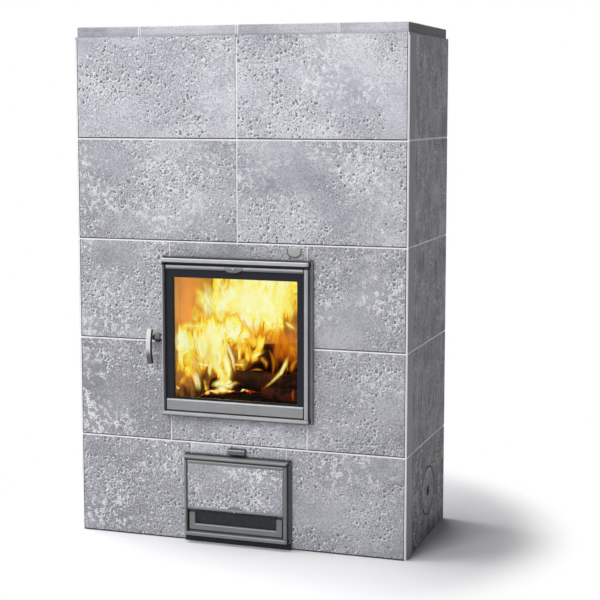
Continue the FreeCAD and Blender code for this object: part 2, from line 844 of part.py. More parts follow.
def lower_door_leaf():
    stile = right_stile(ash)
    plate = box(-ash.stile_inner, ash.stile_inner, ash_plate_front, ash.leaf_back,
                ash.leaf_bottom, ash.leaf_top)
    port_half = baffle_half - air_port_margin
    port = box(-port_half, port_half, ash_plate_front - overrun, ash.leaf_back + overrun,
               baffle_top, panel_rail_bottom)
    leaf = stile.fuse([mirror_x(stile), plate]).removeSplitter()
    notch = ash_catch(catch_radius + catch_clearance, ash.leaf_front - overrun, ash.leaf_back + overrun)
    return cut_pin_holes(leaf.cut(port).cut(notch), ash)


def lower_stone_panel():
    panel = box(-panel_half, panel_half, panel_front, ash_plate_front, panel_bottom, panel_top)
    return panel.makeChamfer(panel_chamfer, edges_on(panel, 1, panel_front))


def panel_bump():
    left = Vector(-panel_bump_half_width, bump_front, panel_bottom)
    right = Vector(panel_bump_half_width, bump_front, panel_bottom)
    crown = Vector(0, bump_front, panel_bottom + panel_bump_height)
    low_left = Vector(-panel_bump_half_width, bump_front, panel_rail_bottom)
    low_right = Vector(panel_bump_half_width, bump_front, panel_rail_bottom)
    edges = [Part.Arc(left, crown, right).toShape(), Part.makeLine(right, low_right),
             Part.makeLine(low_right, low_left), Part.makeLine(low_left, left)]
    return extrude(edges, Vector(0, panel_bump_thickness, 0))


def panel_rails():
    high = box(-panel_half, panel_half, panel_rail_front, ash_plate_front, panel_top, panel_rail_top)
    low = box(-panel_half, panel_half, panel_rail_front, ash_plate_front, panel_rail_bottom, panel_bottom)
    low = low.fuse(panel_bump()).removeSplitter()
    hole = cylinder_y(screw_shank_radius + running_clearance, bump_front - overrun, ash_plate_front,
                      0, panel_screw_z())
    return [high, low.cut(hole)]


def panel_screw_z():
    return (panel_rail_bottom + panel_bottom) / 2


def air_window_plate():
    top = air_window_bottom + air_window_height
    front = ash_plate_front - air_window_depth
    plate = box(-air_window_half, air_window_half, front, ash_plate_front, air_window_bottom, top)
    window = air_window_half - air_window_leg
    plate = plate.cut(box(-window, window, front - overrun, ash_plate_front + overrun,
                          air_window_bottom + air_window_foot, top + overrun))
    return plate.makeChamfer(air_window_chamfer, edges_on(plate, 1, front))


def air_baffle():
    return box(-baffle_half, baffle_half, ash_plate_front - baffle_thickness, ash_plate_front,
               baffle_bottom, baffle_top)


def threshold_plate():
    return box(-ash.flange_half, ash.flange_half, front_y - threshold_thickness, front_y, 0, threshold_height)


def air_control_knob():
    back = front_y - knob_gap
    front = back - knob_depth
    knob = box(-knob_half_width, knob_half_width, front, back,
               knob_z - knob_height / 2, knob_z + knob_height / 2)
    knob = knob.makeFillet(knob_edge_radius, edges_along_x(knob, front))
    ends = edges_on(knob, 0, -knob_half_width) + edges_on(knob, 0, knob_half_width)
    knob = knob.makeFillet(knob_end_radius, ends)
    return knob.cut(cylinder_y(rod_radius + running_clearance, back - knob_socket, back + overrun, 0, knob_z))


def air_control_rod():
    end = damper_y + damper_thickness + rod_overshoot
    return cylinder_y(rod_radius, front_y - knob_gap - knob_socket, end, 0, knob_z)


def air_damper_plate():
    plate = box(-damper_half_width, damper_half_width, damper_y, damper_y + damper_thickness,
                knob_z - damper_half_height, knob_z + damper_half_height)
    return plate.cut(cylinder_y(rod_radius + running_clearance, damper_y - overrun,
                                damper_y + damper_thickness + overrun, 0, knob_z))


def badge():
    x = fire_opening_half - badge_inset
    top = 3 * course_height - badge_drop + badge_height
    bottom = top - badge_height
    y = front_y - badge_thickness
    left = Vector(x - badge_half_width, y, bottom + badge_bulge)
    right = Vector(x + badge_half_width, y, bottom + badge_bulge)
    high_left = Vector(x - badge_half_width, y, top)
    high_right = Vector(x + badge_half_width, y, top)
    edges = [Part.Arc(left, Vector(x, y, bottom), right).toShape(), Part.makeLine(right, high_right),
             Part.makeLine(high_right, high_left), Part.makeLine(high_left, left)]
    return extrude(edges, Vector(0, badge_thickness, 0))


def upper_courses(slab):
    return [slab(course) for course in range(2, course_count + 1)]


def all_pieces():
    pieces = front_stones()
    pieces["left_side_slabs"] = upper_courses(left_side_slab)
    pieces["right_side_slabs"] = [mirror_x(slab) for slab in upper_courses(left_side_slab)]
    pieces["left_hatch_slab"] = left_hatch_slab()
    pieces["right_hatch_slab"] = mirror_x(left_hatch_slab())
    pieces["soot_plug_left"] = left_soot_plug()
    pieces["soot_plug_right"] = mirror_x(left_soot_plug())
    pieces["back_slabs"] = upper_courses(back_slab)
    pieces["back_flue_slab"] = back_flue_slab()
    pieces["flue_sleeve"] = flue_sleeve()
    pieces["cap_slabs"] = cap_slabs()
    pieces["joint_mortar"] = joint_mortar()
    pieces["base_slab"] = base_slab()
    pieces["base_blocks"] = base_blocks()
    pieces["firebox_floor"] = firebox_floor()
    pieces["grate"] = grate()
    pieces["ash_pan"] = ash_pan()
    pieces["firebox_lining"] = firebox_lining()
    pieces["throat_plate"] = throat_plate()
    pieces["upper_core_walls"] = upper_core_walls()
    pieces["heat_store_blocks"] = heat_store_blocks()
    pieces["inner_top_slab"] = inner_top_slab()
    pieces["top_insulation"] = top_insulation()
    pieces["hinge_pins"] = hinge_pins(fire) + hinge_pins(ash)
    pieces["main_door_frame"] = main_door_frame()
    pieces["main_door_leaf"] = main_door_leaf()
    pieces["main_door_glass"] = main_door_glass()
    pieces["glass_seal"] = glass_seal()
    pieces["glass_retainer"] = glass_retainer()
    pieces["main_door_seal"] = door_seal(fire)
    pieces["glass_rails"] = glass_rails()
    pieces["glass_clip"] = glass_clip()
    pieces["glass_clip_screw"] = screw(glass_rail_front - clip_thickness, clip_screw_z())
    pieces["handle_lever"] = handle_lever()
    pieces["handle_shaft"] = handle_shaft()
    pieces["lower_door_frame"] = lower_door_frame()
    pieces["lower_door_leaf"] = lower_door_leaf()
    pieces["lower_stone_panel"] = lower_stone_panel()
    pieces["panel_rails"] = panel_rails()
    pieces["panel_screw"] = screw(bump_front, panel_screw_z())
    pieces["air_window_plate"] = air_window_plate()
    pieces["air_baffle"] = air_baffle()
    pieces["lower_door_seal"] = door_seal(ash)
    pieces["threshold_plate"] = threshold_plate()
    pieces["air_control_knob"] = air_control_knob()
    pieces["air_control_rod"] = air_control_rod()
    pieces["air_damper_plate"] = air_damper_plate()
    pieces["badge"] = badge()
    return pieces


for node, shape in all_pieces().items():
    solid = Part.Compound(shape) if isinstance(shape, list) else shape
    solid.exportStep(f"parts/{node}.step")
    print(node, len(solid.Solids), round(solid.Volume), solid.isValid())
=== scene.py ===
import json
import math

import bmesh
import bpy
from mathutils import Matrix, Vector, noise


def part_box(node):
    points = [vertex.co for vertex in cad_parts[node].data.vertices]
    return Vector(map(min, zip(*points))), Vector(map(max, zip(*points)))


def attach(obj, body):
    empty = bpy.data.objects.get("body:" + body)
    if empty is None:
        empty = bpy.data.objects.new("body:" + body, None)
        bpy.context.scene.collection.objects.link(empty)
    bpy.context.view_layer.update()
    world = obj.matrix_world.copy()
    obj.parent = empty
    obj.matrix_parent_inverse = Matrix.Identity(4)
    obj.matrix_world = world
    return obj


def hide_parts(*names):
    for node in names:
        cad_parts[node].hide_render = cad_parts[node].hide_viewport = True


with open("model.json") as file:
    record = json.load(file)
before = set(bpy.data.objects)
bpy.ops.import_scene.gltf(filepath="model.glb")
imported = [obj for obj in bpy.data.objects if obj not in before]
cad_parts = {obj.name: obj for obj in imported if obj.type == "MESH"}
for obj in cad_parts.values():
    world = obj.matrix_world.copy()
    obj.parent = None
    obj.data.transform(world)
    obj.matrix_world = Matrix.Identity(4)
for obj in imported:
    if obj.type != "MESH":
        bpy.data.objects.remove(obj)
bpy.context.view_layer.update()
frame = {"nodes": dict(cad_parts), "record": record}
nodes = frame["nodes"]
scene = bpy.context.scene
scene.view_settings.view_transform = "Standard"
scene.cycles.transparent_max_bounces = 24  # glass and several flames in one line of sight
print("frame loaded:", len(nodes), "CAD nodes")

# In the looks below, lengths are in metres and colours run from 0 to 255
# A noise is scale, detail, roughness and distortion; a drawn-out noise has three scales, one for each axis
# A fade is where it starts, where it ends and, if not 0 and 1, its value at the start and at the end
# A relief is its strength and its height


def seen(red, green, blue):
    # a colour as the eye reads it to the shader's linear values
    def part(value):
        value /= 255
        return value / 12.92 if value <= 0.04045 else ((value + 0.055) / 1.055) ** 2.4
    return (part(red), part(green), part(blue), 1)


def add(tree, kind, inputs=None, **settings):
    made = tree.nodes.new("ShaderNode" + kind)
    for key, value in settings.items():
        setattr(made, key, value)
    for key, value in (inputs or {}).items():
        if isinstance(value, bpy.types.NodeSocket):
            tree.links.new(value, made.inputs[key])
        else:
            made.inputs[key].default_value = value
    return made


def calc(tree, operation, *values):
    return add(tree, "Math", dict(enumerate(values)), operation=operation).outputs[0]


def times(tree, first, second):
    return calc(tree, "MULTIPLY", first, second)


def minus(tree, first, second):
    return calc(tree, "SUBTRACT", first, second)


def most(tree, first, second):
    return calc(tree, "MAXIMUM", first, second)


def distance(tree, value, middle=0.0):
    return calc(tree, "ABSOLUTE", minus(tree, value, middle))


def around(tree, value, swing, base):
    # the base, moved up and down by a noise
    return calc(tree, "MULTIPLY_ADD", minus(tree, value, 0.5), swing, base)


def fade(tree, value, low, high, start=0.0, end=1.0):
    # smooth step of value from low to high
    span = {"Value": value, "From Min": low, "From Max": high, "To Min": start, "To Max": end}
    return add(tree, "MapRange", span, interpolation_type="SMOOTHSTEP").outputs["Result"]


def mix(tree, share, first, second):
    return add(tree, "Mix", {0: share, 6: first, 7: second}, data_type="RGBA").outputs[2]


def painted(tree, share, body, colour):
    return mix(tree, share, body, seen(*colour))


def ramp(tree, value, positions, colours):
    made = add(tree, "ValToRGB", {"Fac": value})
    band = made.color_ramp.elements
    while len(band) < len(positions):
        band.new(0.5)
    for element, position, colour in zip(band, positions, colours):
        element.position = position
        element.color = seen(*colour)
    return made.outputs["Color"]


def vector(tree, operation, *values):
    return add(tree, "VectorMath", dict(enumerate(values)), operation=operation).outputs[0]


def length(tree, point):
    return add(tree, "VectorMath", {0: point}, operation="LENGTH").outputs["Value"]


def reach(tree, across, up):
    return length(tree, add(tree, "CombineXYZ", {"X": across, "Y": up}).outputs[0])


def scaled(tree, body, share):
    return add(tree, "VectorMath", {0: body, "Scale": share}, operation="SCALE").outputs[0]


def darker(tree, body, share, where):
    return scaled(tree, body, calc(tree, "MULTIPLY_ADD", where, share - 1.0, 1.0))


def objectPoint(tree, shift=(0, 0, 0)):
    point = add(tree, "TexCoord").outputs["Object"]
    return add(tree, "Mapping", {"Vector": point, "Location": shift}).outputs["Vector"]


def axes(tree, point, names="XYZ"):
    split = add(tree, "SeparateXYZ", {0: point}).outputs
    return [split[name] for name in names]


def grain(tree, point, scale, detail=2.0, rough=0.5, distortion=0.0, output="Fac"):
    sockets = {"Vector": point, "Scale": scale, "Detail": detail, "Roughness": rough,
               "Distortion": distortion}
    return add(tree, "TexNoise", sockets).outputs[output]


def streaks(tree, point, scales, *settings, output="Fac"):
    return grain(tree, vector(tree, "MULTIPLY", point, scales), 1.0, *settings, output=output)


def newFinish(name, **sockets):
    finish = bpy.data.materials.new(name)
    finish.use_nodes = True
    tree = finish.node_tree
    shader = tree.nodes["Principled BSDF"]
    for key, value in sockets.items():
        shader.inputs[key.replace("_", " ")].default_value = value
    return finish, tree, shader


def coat(tree, shader, colour, rough=None, height=None, relief=None):
    # colour, roughness and relief of a finish
    tree.links.new(colour, shader.inputs["Base Color"])
    if rough is not None:
        tree.links.new(rough, shader.inputs["Roughness"])
    if height is not None:
        strength, rise = relief
        made = add(tree, "Bump", {"Height": height, "Strength": strength, "Distance": rise})
        tree.links.new(made.outputs["Normal"], shader.inputs["Normal"])


def glowing(tree, shader, colour, strength=1.0):
    tree.links.new(colour, shader.inputs["Emission Color"])
    shader.inputs["Emission Strength"].default_value = strength


def dress(name, finish):
    for slot in nodes[name].material_slots:
        slot.material = finish


def newPiece(name, bm, finish, body):
    bmesh.ops.recalc_face_normals(bm, faces=bm.faces)
    mesh = bpy.data.meshes.new(name)
    bm.to_mesh(mesh)
    bm.free()
    mesh.polygons.foreach_set("use_smooth", [True] * len(mesh.polygons))
    mesh.materials.append(finish)
    piece = bpy.data.objects.new(name, mesh)
    scene.collection.objects.link(piece)
    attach(piece, body)
    return piece


# Camera: the photograph's angle, low pitch with a little shift so that the uprights stay nearly upright
cameraLook = {"place": (1.773, -4.881, 1.511), "yaw": 18.57, "pitch": 6.39, "lens": 87.56, "sensor": 36,
              "shiftY": -0.05}


def addCamera(look):
    data = bpy.data.cameras.new("photoCamera")
    data.lens = look["lens"]
    data.sensor_width = look["sensor"]
    data.shift_y = look["shiftY"]
    camera = bpy.data.objects.new("photoCamera", data)
    camera.location = look["place"]
    camera.rotation_euler = (math.radians(90 - look["pitch"]), 0, math.radians(look["yaw"]))
    scene.collection.objects.link(camera)
    scene.camera = camera


addCamera(cameraLook)
print("camera set")

# Studio: a pale floor, a white surround for what is looked at, and three soft lamps
pureWhite = (1, 1, 1, 1)  # as the shader reads it
studioLook = {
    "ambient": 0.075,
    "floorColour": (238, 238, 240), "floorRadius": 7.0, "floorSegments": 96, "floorWhite": (0.86, 1.14),
    "lamps": {
        "frontLamp": {"place": (-0.75, -4.2, 3.1), "aim": (0, -0.2, 0.9), "size": 2.4, "power": 135},
        "topLeftLamp": {"place": (-2.9, -0.325, 9.9), "aim": (0.1, 0, 0.5), "size": 4.8, "power": 900},
        "backLamp": {"place": (-1.7, 4.4, 2.8), "aim": (0, 0, 0.8), "size": 2.4, "power": 60},
    },
}


def lookedAt(tree):
    path = add(tree, "LightPath").outputs
    straight = most(tree, path["Is Camera Ray"], path["Is Glossy Ray"])
    return most(tree, straight, path["Is Transmission Ray"])


def shareOut(tree, share, first, second, kind):
    # a mix of two shaders goes to the output
    both = add(tree, "MixShader", {0: share, 1: first.outputs[0], 2: second.outputs[0]})
    add(tree, kind, {"Surface": both.outputs[0]})


def addSurround(look):
    world = bpy.data.worlds.new("studio")
    world.use_nodes = True
    scene.world = world
    tree = world.node_tree
    tree.nodes.clear()
    soft = add(tree, "Background", {"Color": pureWhite, "Strength": look["ambient"]})
    bright = add(tree, "Background", {"Color": pureWhite, "Strength": 1.0})
    shareOut(tree, lookedAt(tree), soft, bright, "OutputWorld")


def addFloor(look):
    finish = bpy.data.materials.new("paleFloor")
    finish.use_nodes = True
    tree = finish.node_tree
    tree.nodes.clear()
    matt = add(tree, "BsdfDiffuse", {"Color": seen(*look["floorColour"])})
    bright = add(tree, "Emission", {"Color": pureWhite, "Strength": 1.0})
    far = fade(tree, length(tree, objectPoint(tree)), *look["floorWhite"])
    shareOut(tree, times(tree, far, lookedAt(tree)), matt, bright, "OutputMaterial")
    bm = bmesh.new()
    bmesh.ops.create_circle(bm, cap_ends=True, segments=look["floorSegments"], radius=look["floorRadius"])
    mesh = bpy.data.meshes.new("floor")
    bm.to_mesh(mesh)
    bm.free()
    mesh.materials.append(finish)
    floor = bpy.data.objects.new("floor", mesh)
    scene.collection.objects.link(floor)


def addLamp(name, look):
    data = bpy.data.lights.new(name, "AREA")
    data.shape = "SQUARE"
    data.size = look["size"]
    data.energy = look["power"]
    lamp = bpy.data.objects.new(name, data)
    lamp.location = look["place"]
    lamp.rotation_euler = (Vector(look["aim"]) - Vector(look["place"])).to_track_quat("-Z", "Y").to_euler()
    scene.collection.objects.link(lamp)


addSurround(studioLook)
addFloor(studioLook)
for lampName, lampLook in studioLook["lamps"].items():
    addLamp(lampName, lampLook)
print("studio lit")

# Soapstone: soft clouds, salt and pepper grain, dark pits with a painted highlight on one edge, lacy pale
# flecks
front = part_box("front_c5_left")[0].y  # the stone face
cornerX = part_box("right_side_slabs")[1].x
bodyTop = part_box("right_side_slabs")[1].z
courseCount = 5
courseHeight = bodyTop / courseCount
capJoint = 0.357  # from joint to joint of the cap slabs
plugLow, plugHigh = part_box("soot_plug_right")
# the colour named soot here is that of the dark ring in the groove round the plug
hatchLook = {"soot": (52, 52, 56), "ring": (0.0042, 0.0032), "radius": (plugHigh.z - plugLow.z) / 2,
             "centre": ((plugLow.y + plugHigh.y) / 2, (plugLow.z + plugHigh.z) / 2)}
doorFrames = [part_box(frameName) for frameName in ("main_door_frame", "lower_door_frame")]
stoneLook = {
    "dark": (144, 144, 153), "mid": (172, 172, 180), "pale": (194, 195, 201), "toneAndPaintedLight": 1.0,
    # rim is the colour of the salt grains and of the painted highlights on the small pits; fleck is that of
    # the pale flecks and of the painted highlights on the large pits
    "spot": (92, 94, 102), "rim": (212, 213, 217), "fleck": (236, 237, 240),
    # the dark edge colour is for painted shade on the chamfers and round the door flanges; the lime is partly
    # lime and partly a painted highlight
    "paintedShadeColour": (64, 65, 70), "lime": (248, 248, 248),
    "cloudScale": 3.4, "cloudStretch": (1, 1, 1.4), "cloudGrain": (4.0, 0.58),
    "cloudStops": (0.32, 0.50, 0.68),
    "wobble": (46.0, 1.0), "wobbleReach": (0.016, 0.016, 0.016),
    "crumbs": (185.0, 1.0, 0.5, 0.4), "pepper": (0.48, 0.36), "salt": (0.52, 0.64),
    "pepperShare": 0.55, "saltShare": 0.42,
    "dust": (420.0, 2.0, 0.6), "dustSwing": 1.0,
    "busy": (0.32, 0.54, 0.4, 1.0), "spotted": (0.36, 0.62, 0.12, 1.0), "flecked": (0.45, 0.62, 0.08, 1.0),
    "spotScale": 74.0, "spotShare": 0.84, "pitHighlightShare": 0.65, "darkShare": 0.85,
    "smallSpotScale": 150.0, "smallSpotShare": 0.92, "smallPitHighlightShare": 0.4, "smallDarkShare": 0.7,
    "pitHighlightShift": (-0.0022, 0, 0.0022),  # shift of each pit's painted highlight, from its highlighted edge towards its middle
    "fleckShare": 0.6,
    "shift": (0, 0, 0), "slabAxis": None, "slabPitch": courseHeight, "slabJump": (3.71, 1.93),
    "streak": None, "streakGrain": (3.0, 0.6), "streakSwing": 0.0,
    "lowShade": 1.0, "lowShadeSpan": (courseHeight, 1.3),
    "smoothEnd": None, "shadedEnds": None, "edges": "front", "doors": False, "hatch": False,
    "rough": (0.3, 0.7, 0.52, 0.74), "relief": (0.45, 0.0016), "fleckRelief": 0.3, "crumbRelief": 0.5,
}
pitLook = {"scatter": 0.95, "growth": 0.95, "largest": 0.42, "smallest": 0.05, "wall": (0.0, 0.10),
           "highlightEdge": (-0.12, 0.02)}
laceLook = {"net": 120.0, "netLine": (0.19, 0.06), "veins": (26.0, 2.0, 0.5, 0.6), "veinLine": (0.030, 0.008),
            "gaps": (64.0, 1.0), "gapEdge": (0.49, 0.60)}
# widths of the lime and of the painted shade along the chamfers, the corners and the door flanges
edgeLook = {"head": (0.0036, 0.0028), "underCapShare": 0.5, "frontFoot": (0.0062, 0.0050),
            "frontShadeLine": (0.0108, 0.0098, 0.0, 0.85), "frontMitre": (0.0076, 0.0068),
            "sideFoot": (0.0040, 0.0032), "sideShadeLine": (0.0070, 0.0058, 0.0, 0.55),
            "doorShade": (0.0058, 0.0012, 0.0, 0.60), "capJoint": (0.0046, 0.0036)}


def slabOffset(tree, own):
    # slabs that share a node take their pattern from different places of the block
    along = axes(tree, objectPoint(tree), own["slabAxis"])[0]
    number = calc(tree, "FLOOR", calc(tree, "DIVIDE", along, own["slabPitch"]))
    jumps = [times(tree, number, jump) for jump in own["slabJump"]]
    return add(tree, "CombineXYZ", dict(zip("XY", jumps))).outputs[0]


def pits(tree, point, scale, limit):
    # how far a place lies inside a round pit, and that pit's radius, below zero where a cell has no pit
    sockets = {"Vector": point, "Scale": scale, "Randomness": pitLook["scatter"]}
    cells = add(tree, "TexVoronoi", sockets, feature="F1").outputs
    pick = add(tree, "SeparateColor", {"Color": cells["Color"]}).outputs[0]
    radius = times(tree, minus(tree, pick, limit), pitLook["growth"])
    radius = calc(tree, "MINIMUM", radius, pitLook["largest"])
    return minus(tree, radius, cells["Distance"]), radius


def spots(tree, point, scale, share, gather, towards):
    # dark spots with a painted highlight along their lower right edges
    limit = calc(tree, "MULTIPLY_ADD", gather, -share, 1.0)
    inside = pits(tree, point, scale, limit)[0]
    rim, highlightRadius = pits(tree, vector(tree, "ADD", point, towards), scale, limit)
    large = calc(tree, "GREATER_THAN", highlightRadius, pitLook["smallest"])
    return fade(tree, inside, *pitLook["wall"]), times(tree, fade(tree, rim, *pitLook["highlightEdge"]), large)


def lace(tree, point, bent, gather, share):
    # a net of pale lines round the grains, broken up, and longer single veins
    cells = add(tree, "TexVoronoi", {"Vector": bent, "Scale": laceLook["net"]}, feature="DISTANCE_TO_EDGE")
    net = fade(tree, cells.outputs["Distance"], *laceLook["netLine"])
    veins = fade(tree, distance(tree, grain(tree, bent, *laceLook["veins"]), 0.5), *laceLook["veinLine"])
    broken = fade(tree, grain(tree, point, *laceLook["gaps"]), *laceLook["gapEdge"])
    both = times(tree, most(tree, net, veins), broken)
    return times(tree, times(tree, both, gather), share)


def edgeLines(tree, own, body, x, y, z):
    # lime on the upper chamfers and the mitred corners, partly lime and partly a painted highlight; painted
    # shade on the lower chamfers, under the cap and beside the corners
    above = calc(tree, "FLOORED_MODULO", z, courseHeight)
    head = fade(tree, minus(tree, courseHeight, above), *edgeLook["head"])
    underCap = calc(tree, "GREATER_THAN", z, bodyTop - courseHeight / 2)
    lime = times(tree, head, minus(tree, 1.0, underCap))
    paintedShading = times(tree, times(tree, head, underCap), edgeLook["underCapShare"])
    if own["edges"] == "front":
        inset = minus(tree, cornerX, distance(tree, x))
        paintedShading = most(tree, paintedShading, fade(tree, above, *edgeLook["frontFoot"]))
        paintedShading = most(tree, paintedShading, fade(tree, inset, *edgeLook["frontShadeLine"]))
        lime = most(tree, lime, fade(tree, inset, *edgeLook["frontMitre"]))
    else:
        inset = minus(tree, -front, distance(tree, y))
        paintedShading = most(tree, paintedShading, fade(tree, inset, *edgeLook["sideShadeLine"]))
        lime = most(tree, lime, fade(tree, above, *edgeLook["sideFoot"]))
    return painted(tree, lime, painted(tree, paintedShading, body, own["paintedShadeColour"]), own["lime"])


def frameLines(tree, own, body, x, z):
    # painted shade on the stone just outside the flanges of both doors
    across = distance(tree, x)
    for low, high in doorFrames:
        away = most(tree, minus(tree, z, high.z), minus(tree, low.z, z))
        away = most(tree, away, minus(tree, across, high.x))
        body = painted(tree, fade(tree, away, *edgeLook["doorShade"]), body, own["paintedShadeColour"])
    return body


def groove(tree, look, body, y, z):
    # a dark ring along the groove round the hatch plug
    middleY, middleZ = look["centre"]
    away = reach(tree, minus(tree, y, middleY), minus(tree, z, middleZ))
    return painted(tree, fade(tree, distance(tree, away, look["radius"]), *look["ring"]), body, look["soot"])


def capFaces(tree, own, body, x):
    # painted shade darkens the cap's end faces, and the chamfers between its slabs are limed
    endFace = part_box("cap_slabs")[1].x - own["shadedEnds"]["skin"]
    ends = calc(tree, "GREATER_THAN", distance(tree, x), endFace)
    body = darker(tree, body, own["shadedEnds"]["share"], ends)
    step = calc(tree, "FLOORED_MODULO", calc(tree, "ADD", x, capJoint / 2), capJoint)
    joint = fade(tree, distance(tree, step, capJoint / 2), *edgeLook["capJoint"])
    return painted(tree, joint, body, own["lime"])


def soapstone(name, look):
    own = {**stoneLook, **look}
    finish, tree, shader = newFinish(name, Specular_IOR_Level=0.28)
    x, y, z = axes(tree, objectPoint(tree))
    place = objectPoint(tree, own["shift"])
    if own["slabAxis"]:
        place = vector(tree, "ADD", place, slabOffset(tree, own))
    drawn = vector(tree, "MULTIPLY", place, own["cloudStretch"])
    slow = grain(tree, drawn, own["cloudScale"], *own["cloudGrain"], output="Color")
    cloud, spotGather, fleckGather = add(tree, "SeparateColor", {"Color": slow}).outputs
    wobble = grain(tree, place, *own["wobble"], output="Color")
    bent = vector(tree, "MULTIPLY_ADD", wobble, own["wobbleReach"], place)
    crumbs = grain(tree, place, *own["crumbs"])
    dust = grain(tree, place, *own["dust"])
    busy = fade(tree, spotGather, *own["busy"])  # how thick the grain lies here
    spotMask = fade(tree, spotGather, *own["spotted"])
    fleckMask = fade(tree, fleckGather, *own["flecked"])

    # a slab's tone scales its colours: partly the stone's own differences between slabs, partly painted light
    # and shade, as on the darker right side
    tones = [[min(255, value * own["toneAndPaintedLight"]) for value in own[key]] for key in ("dark", "mid", "pale")]
    body = ramp(tree, cloud, own["cloudStops"], tones)
    for key, colour in (("pepper", "spot"), ("salt", "rim")):
        share = times(tree, fade(tree, crumbs, *own[key]), times(tree, busy, own[key + "Share"]))
        body = painted(tree, share, body, own[colour])
    body = scaled(tree, body, around(tree, dust, own["dustSwing"], 1.0))
    if own["streak"]:
        lines = streaks(tree, place, own["streak"], *own["streakGrain"])
        body = scaled(tree, body, around(tree, lines, own["streakSwing"], 1.0))

    core, pitHighlight = spots(tree, bent, own["spotScale"], own["spotShare"], spotMask, own["pitHighlightShift"])
    smallCore, smallPitHighlight = spots(tree, bent, own["smallSpotScale"], own["smallSpotShare"], spotMask,
                                 own["pitHighlightShift"])
    flecks = lace(tree, place, bent, fleckMask, own["fleckShare"])
    # painted highlights beside the large and the small pits
    body = painted(tree, times(tree, pitHighlight, own["pitHighlightShare"]), body, own["fleck"])
    body = painted(tree, times(tree, smallPitHighlight, own["smallPitHighlightShare"]), body, own["rim"])
    body = painted(tree, flecks, body, own["fleck"])
    body = painted(tree, times(tree, smallCore, own["smallDarkShare"]), body, own["spot"])
    body = painted(tree, times(tree, core, own["darkShare"]), body, own["spot"])
    # painted shade: darker towards the foot
    if own["lowShade"] < 1:
        body = scaled(tree, body, fade(tree, z, *own["lowShadeSpan"], own["lowShade"], 1.0))
    if own["smoothEnd"]:
        # the sawn end of the front slab shows as a plain strip beside the corner
        strip = own["smoothEnd"]
        body = painted(tree, fade(tree, minus(tree, y, front), *strip["edge"]), body, strip["colour"])
    if own["shadedEnds"]:
        body = capFaces(tree, own, body, x)
    if own["edges"]:
        body = edgeLines(tree, own, body, x, y, z)
    if own["doors"]:
        body = frameLines(tree, own, body, x, z)
    if own["hatch"]:
        body = groove(tree, hatchLook, body, y, z)
    height = calc(tree, "MULTIPLY_ADD", flecks, own["fleckRelief"], times(tree, crumbs, own["crumbRelief"]))
    coat(tree, shader, body, fade(tree, dust, *own["rough"]), minus(tree, height, core), own["relief"])
    return finish


cornerStrip = {"edge": (0.078, 0.066), "colour": (148, 148, 156)}  # its edge lies this far behind the face
# painted shade on the cap's end faces: the share of the colour kept
capEndShade = {"skin": 0.0004, "share": 0.175}
slabLooks = {
    "front_c5_left": {"shift": (0.3, 0, 0.1), "fleckShare": 0.4, "toneAndPaintedLight": 1.08},
    "front_c5_right": {"shift": (4.1, 0, 2.7), "toneAndPaintedLight": 1.08},
    "front_c4_left": {"shift": (7.7, 0, 1.2), "toneAndPaintedLight": 0.97},
    "front_c4_right": {"shift": (2.2, 0, 5.1), "toneAndPaintedLight": 1.0},
    "front_c3_left": {"shift": (9.4, 0, 3.3), "fleckShare": 0.7, "toneAndPaintedLight": 0.93},
    "front_c3_lintel": {"shift": (5.5, 0, 8.1), "toneAndPaintedLight": 0.97},
    "front_c3_right": {"shift": (1.6, 0, 6.6), "fleckShare": 0.7, "toneAndPaintedLight": 0.92},
    "front_c2_left": {"shift": (3.8, 0, 9.2), "fleckShare": 0.8, "toneAndPaintedLight": 0.83},
    "front_c2_sill": {"shift": (8.3, 0, 7.4), "fleckShare": 0.9, "toneAndPaintedLight": 1.05},
    "front_c2_right": {"shift": (6.4, 0, 4.5), "toneAndPaintedLight": 0.91},
    "front_c1_left": {"shift": (0.9, 0, 12.3), "fleckShare": 0.75, "toneAndPaintedLight": 0.89},
    "front_c1_filler": {"shift": (11.2, 0, 3.9), "fleckShare": 0.9, "toneAndPaintedLight": 1.15},
    "front_c1_right": {"shift": (12.6, 0, 8.8), "fleckShare": 0.7, "toneAndPaintedLight": 0.94},
    "lower_stone_panel": {"shift": (13.1, 0, 1.4), "fleckShare": 0.8, "saltShare": 0.55, "toneAndPaintedLight": 0.90,
                          "edges": None},
    "left_side_slabs": {"shift": (0, 5.2, 2.1), "slabAxis": "Z", "streakSwing": 1.2},
    "left_hatch_slab": {"shift": (0, 8.2, 4.1), "streakSwing": 1.2, "hatch": True},
    "soot_plug_left": {"shift": (0, 9.7, 1.8), "streakSwing": 1.2, "edges": None, "hatch": True},
    # the right side's slabs, hatch slab and plug have lower tones as painted shade, and the slabs darken
    # further towards the foot
    "right_side_slabs": {"shift": (0, 2.4, 6.2), "slabAxis": "Z", "toneAndPaintedLight": 0.815, "lowShade": 0.74},
    "right_hatch_slab": {"shift": (0, 11.3, 9.5), "toneAndPaintedLight": 0.55, "streakSwing": 4.05, "hatch": True},
    "soot_plug_right": {"shift": (0, 6.6, 11.4), "toneAndPaintedLight": 0.74, "edges": None, "hatch": True},
    "back_slabs": {"shift": (5.9, 0, 10.1), "slabAxis": "Z"},
    "back_flue_slab": {"shift": (10.4, 0, 5.5)},
    "cap_slabs": {"shift": (3.3, 7.1, 0), "toneAndPaintedLight": 1.04, "slabAxis": "X", "slabPitch": capJoint, "edges": None,
                  "shadedEnds": capEndShade},
}
sideLook = {"streak": (1, 34, 9), "streakSwing": 2.25, "spotShare": 0.6, "smallSpotShare": 0.6,
            "fleckShare": 0.45, "pepperShare": 0.5, "saltShare": 0.35, "cloudScale": 9.0,
            "dark": (128, 128, 137), "edges": "side", "pitHighlightShift": (0, -0.0022, 0.0022)}
